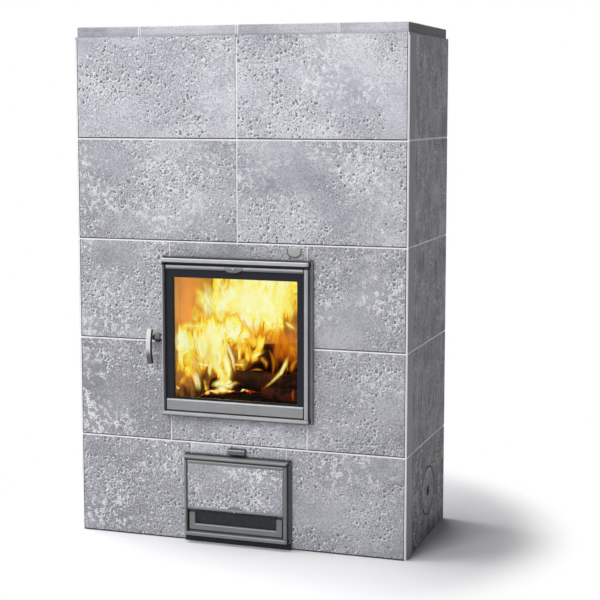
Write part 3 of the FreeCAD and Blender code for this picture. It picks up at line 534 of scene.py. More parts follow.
slabKinds = {  # by the first word of a node's name
    "front": {"doors": True},
    "left": {**sideLook, "smoothEnd": cornerStrip},
    "right": {**sideLook, "smoothEnd": cornerStrip},
    "soot": sideLook,
    "cap": {"streak": (4, 4, 330), "streakSwing": 0.66, "spotShare": 0.2, "smallSpotShare": 0.24,
            "fleckShare": 0.15, "pepperShare": 0.25, "saltShare": 0.2},
}
for slabName, slabLook in slabLooks.items():
    kindLook = slabKinds.get(slabName.split("_")[0], {})
    dress(slabName, soapstone("soapstone." + slabName, {**kindLook, **slabLook}))
print("stone dressed:", len(slabLooks), "nodes")


# Plain inner stone, sawn
coreLook = {"cloud": (9.0, 4.0, 0.6), "cloudShare": 0.75, "saw": ((30, 30, 420), 2.0), "sawShare": 0.35,
            "stops": (0.35, 0.72), "rough": (0.3, 0.7, 0.7, 0.9), "relief": (0.3, 0.001)}


def coreStone(name, look, dark, pale):
    finish, tree, shader = newFinish(name, Specular_IOR_Level=0.2)
    place = objectPoint(tree)
    cloud = times(tree, grain(tree, place, *look["cloud"]), look["cloudShare"])
    saw = streaks(tree, place, *look["saw"])
    both = calc(tree, "MULTIPLY_ADD", saw, look["sawShare"], cloud)
    body = ramp(tree, both, look["stops"], (dark, pale))
    coat(tree, shader, body, fade(tree, saw, *look["rough"]), saw, look["relief"])
    return finish


# Firebox lining: fired blocks, sooty at the foot and the head, burnt clean and warm near the fire
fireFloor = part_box("firebox_floor")[1].z
liningLook = {"clean": (204, 172, 134), "warm": (188, 152, 112), "soot": (40, 34, 30),
              "cloud": (11.0, 4.0, 0.62), "cloudRise": 0.35,
              "pores": (160.0, 3.0, 0.7), "pore": (0.60, 0.70, 0.0, 0.5),
              "lowSoot": (0.11, -0.01), "highSoot": (0.47, 0.60, 0.0, 0.6),  # heights above the firebox floor
              "rough": (0.3, 0.7, 0.78, 0.95), "relief": (0.4, 0.0015)}


def fireLining(look):
    finish, tree, shader = newFinish("fireLining", Specular_IOR_Level=0.15)
    place = objectPoint(tree)
    cloud = grain(tree, place, *look["cloud"])
    pores = grain(tree, place, *look["pores"])
    height = minus(tree, axes(tree, place, "Z")[0], fireFloor)
    rise = around(tree, cloud, look["cloudRise"], height)
    body = painted(tree, cloud, seen(*look["clean"]), look["warm"])
    for value, key in ((rise, "lowSoot"), (rise, "highSoot"), (pores, "pore")):
        body = painted(tree, fade(tree, value, *look[key]), body, look["soot"])
    coat(tree, shader, body, fade(tree, pores, *look["rough"]), pores, look["relief"])
    return finish


# White joint mortar, fine sand in it, with painted shade under the cap
mortarLook = {"sand": (222, 222, 220), "lime": (247, 247, 246), "capShade": (128, 128, 134),
              "grains": (420.0, 3.0, 0.7), "stops": (0.28, 0.5), "underCap": (0.010, 0.008),
              "rough": (0.3, 0.7, 0.85, 0.95), "relief": (0.3, 0.0008)}


def jointMortar(look):
    finish, tree, shader = newFinish("jointMortar", Specular_IOR_Level=0.1)
    place = objectPoint(tree)
    sand = grain(tree, place, *look["grains"])
    body = ramp(tree, sand, look["stops"], (look["sand"], look["lime"]))
    below = minus(tree, bodyTop, axes(tree, place, "Z")[0])
    # painted shade on the mortar just under the cap
    body = painted(tree, fade(tree, below, *look["underCap"]), body, look["capShade"])
    coat(tree, shader, body, fade(tree, sand, *look["rough"]), sand, look["relief"])
    return finish


# Mineral board on the inner top slab: matted fibres
boardLook = {"deep": (178, 170, 150), "pale": (226, 220, 204), "fibres": ((40, 190, 400), 4.0, 0.7, 1.4),
             "stops": (0.3, 0.7), "rough": (0.3, 0.7, 0.85, 1.0), "relief": (0.8, 0.003)}


def mineralBoard(look):
    finish, tree, shader = newFinish("mineralBoard", Specular_IOR_Level=0.1)
    fibres = streaks(tree, objectPoint(tree), *look["fibres"])
    body = ramp(tree, fibres, look["stops"], (look["deep"], look["pale"]))
    coat(tree, shader, body, fade(tree, fibres, *look["rough"]), fibres, look["relief"])
    return finish


# Matt black heat-proof paint, a little chalky
paintLook = {"deep": (20, 23, 25), "chalk": (46, 51, 54), "chalkGrain": (60.0, 4.0, 0.7),
             "stops": (0.35, 0.75), "skin": (700.0, 1.0), "rough": (0.3, 0.7, 0.5, 0.72),
             "relief": (0.25, 0.0003)}


def blackPaint(look):
    finish, tree, shader = newFinish("blackPaint", Specular_IOR_Level=0.3)
    place = objectPoint(tree)
    chalk = grain(tree, place, *look["chalkGrain"])
    body = ramp(tree, chalk, look["stops"], (look["deep"], look["chalk"]))
    skin = grain(tree, place, *look["skin"])
    coat(tree, shader, body, fade(tree, chalk, *look["rough"]), skin, look["relief"])
    return finish


# Door glass: clear in the middle, a printed black border round it
glassLow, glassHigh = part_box("main_door_glass")
glassLook = {"side": 0.0275, "foot": 0.046, "head": 0.042, "edge": 0.0006,  # widths of the border
             "border": (42, 44, 50), "haze": (40, 34, 28), "smear": ((9, 1, 5), 4.0, 0.6),
             "hazeAlpha": (0.45, 0.75, 0.025, 0.08), "rough": (0.3, 0.7, 0.05, 0.12)}


def doorGlass(look):
    finish, tree, shader = newFinish("doorGlass", Specular_IOR_Level=0.06)
    place = objectPoint(tree)
    x, z = axes(tree, place, "XZ")
    insets = {"side": minus(tree, glassHigh.x, distance(tree, x)), "foot": minus(tree, z, glassLow.z),
              "head": minus(tree, glassHigh.z, z)}
    border = 0.0
    for key, inset in insets.items():
        printed = fade(tree, inset, look[key] + look["edge"], look[key] - look["edge"])
        border = most(tree, border, printed)
    smear = streaks(tree, place, *look["smear"])
    alpha = most(tree, border, fade(tree, smear, *look["hazeAlpha"]))
    tree.links.new(alpha, shader.inputs["Alpha"])
    body = painted(tree, border, seen(*look["haze"]), look["border"])
    coat(tree, shader, body, fade(tree, smear, *look["rough"]))
    return finish


# Rope seal: braided fibre
sealLook = {"deep": (24, 24, 25), "yarn": (86, 85, 83), "braid": 420.0, "stops": (0.1, 0.6),
            "rough": (0.1, 0.6, 0.8, 1.0), "relief": (0.8, 0.001)}


def ropeSeal(look):
    finish, tree, shader = newFinish("ropeSeal", Specular_IOR_Level=0.1)
    cells = add(tree, "TexVoronoi", {"Vector": objectPoint(tree), "Scale": look["braid"]}, feature="F1")
    braid = cells.outputs["Distance"]
    body = ramp(tree, braid, look["stops"], (look["yarn"], look["deep"]))
    coat(tree, shader, body, fade(tree, braid, *look["rough"]), minus(tree, 1.0, braid), look["relief"])
    return finish


# Cast iron of the grate, burnt and ashy in patches
grateLook = {"iron": (46, 42, 40), "rust": (88, 62, 48), "ash": (140, 136, 130), "cast": (240.0, 3.0, 0.7),
             "patches": (22.0, 4.0, 0.6), "rusty": (0.45, 0.65), "ashy": (0.42, 0.30, 0.0, 0.7),
             "rough": (0.3, 0.7, 0.6, 0.85), "relief": (0.5, 0.0012)}


def grateIron(look):
    finish, tree, shader = newFinish("grateIron", Specular_IOR_Level=0.3)
    place = objectPoint(tree)
    cast = grain(tree, place, *look["cast"])
    patches = grain(tree, place, *look["patches"])
    body = painted(tree, fade(tree, patches, *look["rusty"]), seen(*look["iron"]), look["rust"])
    body = painted(tree, fade(tree, patches, *look["ashy"]), body, look["ash"])
    coat(tree, shader, body, fade(tree, cast, *look["rough"]), cast, look["relief"])
    return finish


# Satin steel, brushed along its length, with painted shade on its sides, gaps and undersides and painted
# highlights on its upper edges
alongBars = (14, 300, 300)
alongUprights = (200, 200, 30)
bareMetal = {"metal": 1.0, "gloss": 0.5}
steelLook = {"brush": alongBars, "brushGrain": (3.0, 0.6), "brushShare": 0.5, "patches": (16.0, 3.0, 0.6),
             "patchShare": 0.5, "stops": (0.32, 0.68), "rough": 0.36, "smoother": 0.06, "rougher": 0.08,
             "roughSpan": (0.3, 0.7), "relief": (0.08, 0.0004), "metal": 0.0, "gloss": 0.22, "paintedShading": {},
             "paintedShadingEdge": 0.0005, "shade": None}
collarLook = {"baked": (196, 158, 118), "soot": (20, 17, 15), "sootRise": (0.085, 0.040),
              "behind": (0.001, 0.003)}
leverLook = {"tipShare": 0.15, "tip": (0.060, 0.096)}
badgeLook = {"radius": 0.0305, "underLine": (0.0042, 0.0030), "sideLine": (0.0036, 0.0026), "lineShare": 0.30}


def collarShade(tree, body):
    # the collar behind the fire door is baked pale brown, and sooty at the bottom
    y, z = axes(tree, objectPoint(tree), "YZ")
    rise = minus(tree, z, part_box("main_door_frame")[0].z)
    sooty = fade(tree, rise, *collarLook["sootRise"])
    baked = painted(tree, sooty, seen(*collarLook["baked"]), collarLook["soot"])
    return mix(tree, fade(tree, minus(tree, y, front), *collarLook["behind"]), body, baked)


def leverShade(tree, body):
    # painted shade: the lever is darkened towards its lower tip
    down = minus(tree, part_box("handle_lever")[1].z, axes(tree, objectPoint(tree), "Z")[0])
    return darker(tree, body, leverLook["tipShare"], fade(tree, down, *leverLook["tip"]))


def badgeRim(tree, body):
    # painted shade: a dark line just inside the badge's edge
    low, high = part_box("badge")
    x, z = axes(tree, objectPoint(tree), "XZ")
    across = minus(tree, x, (low.x + high.x) / 2)
    up = minus(tree, z, low.z + badgeLook["radius"])
    under = fade(tree, minus(tree, badgeLook["radius"], reach(tree, across, up)), *badgeLook["underLine"])
    under = times(tree, under, calc(tree, "LESS_THAN", up, 0.0))
    inset = minus(tree, (high.x - low.x) / 2, distance(tree, across))
    line = most(tree, under, fade(tree, inset, *badgeLook["sideLine"]))
    return darker(tree, body, badgeLook["lineShare"], line)


def paintShading(tree, body, own):
    # each patch keeps a share of the colour, within so much of a side of the node's box or in a band along
    # it; a share below one is mostly painted shade, above one a painted highlight
    low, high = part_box(own["on"])
    x, y, z = axes(tree, objectPoint(tree))
    sides = {"left": (x, low.x), "right": (high.x, x), "front": (y, low.y), "back": (high.y, y),
             "foot": (z, low.z), "top": (high.z, z)}
    edge = own["paintedShadingEdge"]
    for share, patch in own["paintedShading"].values():
        inside = 1.0
        for side, span in patch.items():
            start, end = span if isinstance(span, tuple) else (None, span)
            inset = minus(tree, *sides[side])
            inside = times(tree, inside, fade(tree, inset, end + edge, end - edge))
            if start:
                inside = times(tree, inside, fade(tree, inset, start - edge, start + edge))
        body = darker(tree, body, share, inside)
    return body


def satinSteel(name, look):
    own = {**steelLook, **look}
    finish, tree, shader = newFinish(name, Metallic=own["metal"], Specular_IOR_Level=own["gloss"])
    place = objectPoint(tree)
    lines = streaks(tree, place, own["brush"], *own["brushGrain"])
    patches = grain(tree, place, *own["patches"])
    both = calc(tree, "MULTIPLY_ADD", patches, own["patchShare"], times(tree, lines, own["brushShare"]))
    body = ramp(tree, both, own["stops"], (own["dark"], own["pale"]))
    # painted shade and painted highlights in patches
    if own["paintedShading"]:
        body = paintShading(tree, body, own)
    if own["shade"]:
        body = own["shade"](tree, body)
    rough = fade(tree, both, *own["roughSpan"], own["rough"] - own["smoother"], own["rough"] + own["rougher"])
    coat(tree, shader, body, rough, lines, own["relief"])
    return finish


flangeFace = front - 0.0104
fireBars, ashBars = [flangeFace - low.y for low, high in doorFrames]  # how far the bars stand before a flange
fireFlange, ashFlange = [high.y - flangeFace for low, high in doorFrames]
lowRail = 0.135  # the thin rail lies above this
# the door steels are one paint, given lighter or darker colours part by part as painted light and shade; in
# their tables of patches, shares below one are mostly painted shade and shares above one painted highlights
steelLooks = {
    "barSteel": {
        "on": "main_door_frame", "dark": (164, 165, 168), "pale": (182, 183, 186), "shade": collarShade,
        "paintedShading": {
            "barEnds": (0.05, {"right": 0.0064, "front": fireBars}),
            "underTopBar": (0.06, {"top": (0.0140, 0.0195), "front": fireBars}),
            "topBarBack": (0.10, {"top": 0.0030, "front": (0.0050, fireBars)}),
            "topBarEdge": (1.8, {"top": 0.0040, "front": 0.0050}),
            "footBar": (0.45, {"foot": 0.0085, "front": fireBars}),
            "underFootBar": (0.15, {"foot": 0.0045, "front": fireBars}),
            "rightEdge": (0.50, {"right": 0.0008}),
            "leftEdge": (0.30, {"left": 0.0008}),
            "flangeTop": (0.10, {"top": 0.0020, "back": fireFlange}),
            "flangeFoot": (0.10, {"foot": 0.0018, "back": fireFlange}),
            "flangeRight": (0.90, {"right": (0.0008, 0.0046), "front": (fireBars, 0.0400)}),
        },
    },
    "leafSteel": {
        "on": "main_door_leaf", "dark": (160, 161, 164), "pale": (178, 179, 182),
        "paintedShading": {
            "rightEdge": (0.05, {"right": 0.0028}),
            "topEdge": (0.08, {"top": 0.0059}),
            "leftGroove": (0.18, {"left": (0.0345, 0.0420)}),
            "rightGroove": (0.40, {"right": (0.0138, 0.0155)}),
            # latchSide darkens the latch ball all over; latchFoot darkens its lower part as painted shade
            "latchSide": (0.30, {"left": 0.0243}),
            "latchFoot": (0.12, {"left": 0.0243, "foot": 0.2485}),
        },
    },
    "railSteel": {
        "on": "glass_rails", "dark": (132, 134, 136), "pale": (146, 148, 150),
        "paintedShading": {
            "rightEnd": (0.10, {"right": 0.0002, "foot": lowRail}),
            "leftEnd": (0.10, {"left": 0.0002, "foot": lowRail}),
            "footEdge": (0.08, {"foot": 0.0040}),
            "wideRailEdge": (2.2, {"foot": (0.0372, lowRail)}),
            "thinRailFoot": (0.55, {"top": (0.0075, 0.0165)}),
            "thinRailEdge": (1.6, {"top": 0.0055}),
        },
    },
    "clipSteel": {
        "on": "glass_clip", "dark": (102, 103, 105), "pale": (116, 117, 119),
        "paintedShading": {"topEdge": (1.7, {"top": 0.0055}), "footEdge": (0.4, {"foot": 0.0035})},
    },
    "ashFrameSteel": {
        "on": "lower_door_frame", "dark": (114, 116, 117), "pale": (128, 130, 131), "rough": 0.38,
        "paintedShading": {
            "barEnds": (0.08, {"right": 0.0064, "front": ashBars}),
            "underTopBar": (0.12, {"top": (0.0108, 0.0170), "front": ashBars}),
            "topBarEdge": (1.7, {"top": 0.0060, "front": ashBars}),
            "footBarEdge": (1.9, {"foot": (0.0128, 0.0160), "front": ashBars}),
            "rightEdge": (0.55, {"right": 0.0008}),
            "leftEdge": (0.40, {"left": 0.0008}),
            "flangeTop": (0.35, {"top": 0.0040, "back": ashFlange}),
            "flangeRight": (0.85, {"right": (0.0008, 0.0050), "front": (ashBars, 0.0360)}),
        },
    },
    "ashLeafSteel": {
        "on": "lower_door_leaf", "dark": (114, 116, 117), "pale": (128, 130, 131), "rough": 0.38,
        "paintedShading": {
            "rightEdge": (0.08, {"right": 0.0016}),
            "rightGroove": (0.35, {"right": (0.0115, 0.0165)}),
            "leftGroove": (0.30, {"left": (0.0100, 0.0160)}),
        },
    },
    "panelRailSteel": {
        "on": "panel_rails", "dark": (112, 114, 115), "pale": (126, 128, 129), "rough": 0.38,
        "paintedShading": {
            "topEdge": (1.9, {"top": 0.0035}),
            "footEdge": (0.3, {"foot": 0.0015}),
            "lowRailEdge": (2.0, {"foot": (0.0065, 0.0085)}),
        },
    },
    "windowSteel": {
        "on": "air_window_plate", "dark": (110, 113, 114), "pale": (124, 127, 128), "rough": 0.38,
        "paintedShading": {
            "rightEdge": (0.12, {"right": 0.0016}),
            "leftEdge": (0.12, {"left": 0.0016}),
            "footEdge": (0.3, {"foot": 0.0016}),
            "sillEdge": (2.2, {"left": (0.022, 0.322), "foot": (0.0175, 0.0210)}),
        },
    },
    "handleSteel": {
        "on": "handle_lever", "dark": (198, 200, 197), "pale": (216, 217, 213), "rough": 0.34,
        "brush": alongUprights, "shade": leverShade,
        "paintedShading": {"innerSide": (0.06, {"right": 0.0026})},
    },
    "shaftSteel": {
        "on": "handle_shaft", "dark": (50, 51, 53), "pale": (66, 67, 69), "rough": 0.40,
        "brush": (200, 30, 200),
    },
    "badgeMetal": {
        "on": "badge", "dark": (160, 163, 159), "pale": (180, 183, 178), "rough": 0.42,
        "brush": (18, 400, 400), "shade": badgeRim,
    },
    "knobSteel": {
        **bareMetal, "on": "air_control_knob", "dark": (92, 93, 96), "pale": (114, 115, 118),
        "rough": 0.32,
    },
    "brightSteel": {
        **bareMetal, "on": "bright_steel", "dark": (142, 143, 144), "pale": (166, 166, 166),
        "rough": 0.28, "brush": alongUprights,
    },
    "sheetSteel": {
        **bareMetal, "on": "sheet_steel", "dark": (92, 93, 95), "pale": (132, 132, 134),
        "rough": 0.45, "brush": (30, 240, 240),
    },
}
# A finish for one node, or for every other node of a material slot
finishes = {
    "core_stone": coreStone("coreStone", coreLook, (112, 113, 116), (158, 158, 160)),
    "firebox_floor": coreStone("sootyFloor", coreLook, (18, 16, 15), (36, 32, 29)),
    "fire_lining": fireLining(liningLook),
    "mortar": jointMortar(mortarLook),
    "insulation": mineralBoard(boardLook),
    "black_steel": blackPaint(paintLook),
    "door_glass": doorGlass(glassLook),
    "rope_seal": ropeSeal(sealLook),
    "grate_iron": grateIron(grateLook),
}
for steelName, steel in steelLooks.items():
    finishes[steel["on"]] = satinSteel(steelName, steel)
for row in frame["record"]["subparts"]:
    for key in (row["material_slot"], row["node"]):
        if key in finishes:
            dress(row["node"], finishes[key])
print("metal, glass and inner finishes dressed")

# Braided rope seals in place of the plain ones
ropeShape = {"around": 14, "cornerSteps": 8, "cornerShare": 1.4, "stepsPerBraid": 5, "bulge": 0.12,
             "weld": 0.00001}
roundRope = {"width": 0.007, "pitch": 0.011, "strands": 3}
flatTape = {"width": 0.012, "pitch": 0.012, "strands": 4}
ropeLooks = {
    "braidedDoorSeal": {**roundRope, "node": "main_door_seal", "body": "main_door"},
    "braidedAshSeal": {**roundRope, "node": "lower_door_seal", "body": "lower_door"},
    "wovenGlassSeal": {**flatTape, "node": "glass_seal", "body": "main_door"},
}


def loopPath(left, right, bottom, top, radius, step):
    # a rectangle with rounded corners: points and outward directions, evenly spaced
    corners = [(right - radius, top - radius, 0), (left + radius, top - radius, 90),
               (left + radius, bottom + radius, 180), (right - radius, bottom + radius, 270)]
    rough = []
    for x, z, turn in corners:
        for part in range(ropeShape["cornerSteps"] + 1):
            angle = math.radians(turn + part * 90 / ropeShape["cornerSteps"])
            out = Vector((math.cos(angle), math.sin(angle)))
            rough.append((Vector((x, z)) + out * radius, out))
    path = []
    for (place, out), (nextPlace, nextOut) in zip(rough, rough[1:] + rough[:1]):
        count = max(1, round((nextPlace - place).length / step))
        for number in range(count):
            share = number / count
            path.append((place.lerp(nextPlace, share), out.lerp(nextOut, share).normalized()))
    return path


def addRope(name, look, finish):
    low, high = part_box(look["node"])
    half = look["width"] / 2
    middle, thick = (low.y + high.y) / 2, (high.y - low.y) / 2
    path = loopPath(low.x + half, high.x - half, low.z + half, high.z - half, half * ropeShape["cornerShare"],
                    look["pitch"] / ropeShape["stepsPerBraid"])
    count = len(path)
    bm = bmesh.new()
    bmesh.ops.create_grid(bm, x_segments=count, y_segments=ropeShape["around"], size=1.0)
    turns = 2 * math.pi * round(count / ropeShape["stepsPerBraid"])  # whole braids round the loop
    for v in bm.verts:
        along, angle = (v.co.x + 1) / 2, math.pi * (v.co.y + 1)
        place, out = path[round(along * count) % count]
        strand = look["strands"] * angle
        crossing = max(math.cos(strand + turns * along), math.cos(strand - turns * along))
        bulge = 1 + ropeShape["bulge"] * (crossing - 1)
        place = place + out * half * bulge * math.cos(angle)
        v.co = (place.x, middle + thick * bulge * math.sin(angle), place.y)
    bmesh.ops.remove_doubles(bm, verts=bm.verts, dist=ropeShape["weld"])
    piece = newPiece(name, bm, finish, look["body"])
    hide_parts(look["node"])


for ropeName, ropeLook in ropeLooks.items():
    addRope(ropeName, ropeLook, finishes["rope_seal"])
print("seals braided:", len(ropeLooks))

# The fire stays inside the firebox; first an ember bed, glowing at the left and the back
black = (0, 0, 0)
emberLook = {
    "half": (0.228, 0.160), "centre": (0.0, -0.04), "segments": (72, 56), "foot": 0.001, "low": 0.012,
    "mound": 0.040, "roundness": 0.6, "lumps": 0.016, "crumbs": 0.5, "lumpEdge": 3,
    "lumpNoise": (42, 1.7), "crumbNoise": (95, 4.2),  # scale and seed
    "ash": (15, 12, 11), "char": (5, 4, 4),
    "red": (214, 52, 6), "orange": (255, 150, 30), "yellow": (255, 236, 150),
    "cells": 62.0, "grain": (150.0, 3.0, 0.6), "ashy": (0.52, 0.66), "inward": (-0.135, -0.07),
    "leftward": (0.05, -0.07, 0.12, 1.0), "cellHeat": 0.9, "leastHeat": 0.5, "cellEdge": 0.5,
    "grainHeat": 0.8, "glowStops": (0.02, 0.22, 0.45, 0.75), "relief": (0.8, 0.006),
}


def emberFinish(look):
    finish, tree, shader = newFinish("embers", Specular_IOR_Level=0.05, Roughness=0.95)
    place = objectPoint(tree)
    cells = add(tree, "TexVoronoi", {"Vector": place, "Scale": look["cells"]}, feature="F1").outputs
    pick = add(tree, "SeparateColor", {"Color": cells["Color"]}).outputs[0]
    rough = grain(tree, place, *look["grain"])
    body = painted(tree, fade(tree, rough, *look["ashy"]), seen(*look["char"]), look["ash"])
    coat(tree, shader, body, height=cells["Distance"], relief=look["relief"])
    x, y = axes(tree, place, "XY")
    heat = times(tree, fade(tree, y, *look["inward"]), fade(tree, x, *look["leftward"]))
    heat = times(tree, heat, calc(tree, "MULTIPLY_ADD", pick, look["cellHeat"], look["leastHeat"]))
    heat = minus(tree, heat, times(tree, cells["Distance"], look["cellEdge"]))
    heat = around(tree, rough, look["grainHeat"], heat)
    glow = ramp(tree, heat, look["glowStops"], (black, look["red"], look["orange"], look["yellow"]))
    glowing(tree, shader, glow)
    return finish


def lumpNoise(x, y, scale, seed):
    return abs(noise.noise(Vector((x * scale, y * scale, seed))))


def addEmbers(look):
    across, deep = look["segments"]
    bm = bmesh.new()
    bmesh.ops.create_grid(bm, x_segments=across, y_segments=deep, size=1.0)
    raised = bmesh.ops.extrude_face_region(bm, geom=bm.faces[:])["geom"]
    top = {v for v in raised if isinstance(v, bmesh.types.BMVert)}
    for v in bm.verts:
        u, w = v.co.x, v.co.y
        x = look["centre"][0] + u * look["half"][0]
        y = look["centre"][1] + w * look["half"][1]
        height = look["foot"]
        if v in top:
            mound = max(0.0, 1 - u * u) * max(0.0, 1 - w * w)
            lump = lumpNoise(x, y, *look["lumpNoise"]) + look["crumbs"] * lumpNoise(x, y, *look["crumbNoise"])
            lumps = look["lumps"] * lump * min(1.0, look["lumpEdge"] * mound)
            height = look["low"] + look["mound"] * mound ** look["roundness"] + lumps
        v.co = (x, y, fireFloor + height)
    newPiece("emberBed", bm, emberFinish(look), "root")


addEmbers(emberLook)

# Charred logs, split on one side
logLooks = {
    "logLow": {"ends": ((-0.095, -0.080, 0.548), (0.195, -0.095, 0.535)),
               "radius": 0.042, "split": 0.7, "seed": 3.1},
    "logFront": {"ends": ((0.035, -0.130, 0.500), (0.205, -0.140, 0.505)),
                 "radius": 0.032, "split": 1.0, "seed": 8.7},
    "logTop": {"ends": ((-0.050, -0.020, 0.625), (0.200, -0.050, 0.650)),
               "radius": 0.042, "split": 0.8, "seed": 12.2},
    "logBack": {"ends": ((-0.150, 0.085, 0.520), (0.110, 0.100, 0.600)),
                "radius": 0.046, "split": 0.7, "seed": 5.4},
    "logLeft": {"ends": ((-0.195, -0.030, 0.505), (-0.060, -0.090, 0.500)),
                "radius": 0.026, "split": 1.0, "seed": 1.9},
}
logShape = {"segments": 36, "cuts": 40, "taper": 0.9, "endInset": 0.3,
            "ridge": 0.10, "ridgeScale": 75, "ridgeDraw": 9, "swell": 0.16, "swellScale": 14, "swellDraw": 11,
            "splitRough": 0.004, "endRough": 0.006, "bow": 0.02, "bowTurn": 2.2}
charLook = {"char": (13, 10, 9), "bark": (70, 32, 18), "ash": (104, 92, 84), "ember": (255, 96, 12),
            "fibre": ((16, 120, 120), 3.0, 0.65, 0.6), "patches": (13.0, 4.0, 0.65), "barky": (0.44, 0.60),
            "barkRight": (-0.02, 0.12, 0.25, 1.0), "ashy": (0.60, 0.74, 0.0, 0.3), "hot": (0.46, 0.34),
            "hotLow": (0.62, 0.50, 0.1, 1.0), "cracks": (0.44, 0.34), "glowStops": (0.1, 1.0), "glow": 0.7,
            "rough": (0.3, 0.7, 0.75, 0.95), "relief": (0.9, 0.004)}


def charFinish(look):
    finish, tree, shader = newFinish("charredLog", Specular_IOR_Level=0.1)
    place = objectPoint(tree)
    x, z = axes(tree, place, "XZ")
    fibre = streaks(tree, place, *look["fibre"])
    patches = grain(tree, place, *look["patches"])
    bark = times(tree, fade(tree, patches, *look["barky"]), fade(tree, x, *look["barkRight"]))
    body = painted(tree, bark, seen(*look["char"]), look["bark"])
    body = painted(tree, fade(tree, fibre, *look["ashy"]), body, look["ash"])
    coat(tree, shader, body, fade(tree, fibre, *look["rough"]), fibre, look["relief"])
    hot = times(tree, fade(tree, patches, *look["hot"]), fade(tree, z, *look["hotLow"]))
    heat = times(tree, hot, fade(tree, fibre, *look["cracks"]))
    glowing(tree, shader, ramp(tree, heat, look["glowStops"], (black, look["ember"])), look["glow"])
    return finish


def addLog(name, look, shape, finish):
    start, end = Vector(look["ends"][0]), Vector(look["ends"][1])
    radius, seed, logLength = look["radius"], look["seed"], (end - start).length
    bm = bmesh.new()
    bmesh.ops.create_cone(bm, cap_ends=True, segments=shape["segments"], radius1=radius,
                          radius2=radius * shape["taper"], depth=logLength)
    longEdges = [e for e in bm.edges if abs(e.verts[0].co.z - e.verts[1].co.z) > logLength / 2]
    bmesh.ops.subdivide_edges(bm, edges=longEdges, cuts=shape["cuts"], use_grid_fill=True)
    caps = [f for f in bm.faces if len(f.verts) > 4]
    bmesh.ops.inset_region(bm, faces=caps, thickness=radius * shape["endInset"], use_even_offset=True)
    for v in bm.verts:
        x, y, z = v.co
        fine, coarse = shape["ridgeScale"], shape["swellScale"]
        ridge = noise.noise(Vector((x * fine + seed, y * fine, z * shape["ridgeDraw"])))
        swell = noise.noise(Vector((x * coarse, y * coarse + seed, z * shape["swellDraw"])))
        grow = 1 + shape["ridge"] * ridge + shape["swell"] * swell
        splitFace = radius * look["split"] + shape["splitRough"] * ridge
        bow = shape["bow"] * math.sin(shape["bowTurn"] * z / logLength + seed)
        v.co = (x * grow + bow, min(y * grow, splitFace), z + shape["endRough"] * ridge)
    turn = (end - start).to_track_quat("Z", "Y").to_matrix().to_4x4()
    bmesh.ops.transform(bm, matrix=Matrix.Translation((start + end) / 2) @ turn, verts=bm.verts)
    newPiece(name, bm, finish, "root")


charred = charFinish(charLook)
for logName, logLook in logLooks.items():
    addLog(logName, logLook, logShape, charred)

# Flames glow by heat, from deep red to nearly white
flameColours = {"deep": (126, 24, 0), "orange": (230, 104, 10), "amber": (250, 182, 36),
                "yellow": (255, 233, 76), "pale": (255, 251, 140), "white": (255, 255, 198)}
flameStops = (0.0, 0.16, 0.32, 0.50, 0.72, 1.0)


def newFlame(name):
    return newFinish(name, Specular_IOR_Level=0.0, Roughness=1.0, Base_Color=seen(*black))


def burn(tree, shader, heat, alpha):
    glowing(tree, shader, ramp(tree, heat, flameStops, flameColours.values()))
    tree.links.new(alpha, shader.inputs["Alpha"])


# Soft sheets of flame, each at one depth and hottest in blobs: x, z, half width, half height, heat
curtainLooks = {
    "flamesBack": {"y": 0.100, "bulge": 0.02, "span": (-0.236, 0.228), "rise": (0.52, 0.968), "blobs": [
        (-0.110, 0.820, 0.110, 0.130, 1.25), (0.022, 0.820, 0.076, 0.110, 0.92),
        (-0.236, 0.800, 0.030, 0.110, 0.34), (-0.160, 0.700, 0.110, 0.036, 0.62),
    ]},
    "flamesMiddle": {"y": -0.087, "bulge": 0.02, "span": (-0.236, 0.150), "rise": (0.50, 0.800), "blobs": [
        (-0.217, 0.701, 0.041, 0.050, 0.80), (-0.165, 0.665, 0.070, 0.080, 1.05),
        (-0.069, 0.710, 0.060, 0.036, 0.85), (-0.130, 0.570, 0.060, 0.043, 0.72),
    ]},
    "flamesRight": {"y": -0.147, "bulge": 0.02, "span": (-0.040, 0.236), "rise": (0.50, 0.790), "blobs": [
        (0.150, 0.700, 0.055, 0.060, 0.21), (0.085, 0.725, 0.045, 0.030, 0.14),
        (0.130, 0.620, 0.030, 0.045, 0.17), (0.030, 0.715, 0.030, 0.050, 0.26),
        (-0.012, 0.650, 0.050, 0.028, 0.58), (0.060, 0.690, 0.040, 0.035, 0.30),
    ]},
    "flamesFront": {"y": -0.222, "bulge": 0.01, "span": (-0.238, 0.000), "rise": (0.50, 0.80), "blobs": [
        (-0.224, 0.700, 0.036, 0.048, 1.50), (-0.200, 0.630, 0.036, 0.045, 0.24),
        (-0.157, 0.600, 0.040, 0.040, 0.16),
    ]},
}
curtainShape = {"segments": (30, 24), "waveAcross": 2.6, "waveUp": 3, "wave": 0.5, "arch": 0.5,
                "sway": ((15, 15, 6), 2.0, 0.5), "swayReach": (0.16, 0.16, 0.20),
                "licks": ((46, 46, 7), 2.0, 0.55, 0.6), "lickHeat": (0.30, 0.68, 0.40, 1.3),
                "alpha": (0.10, 0.42)}


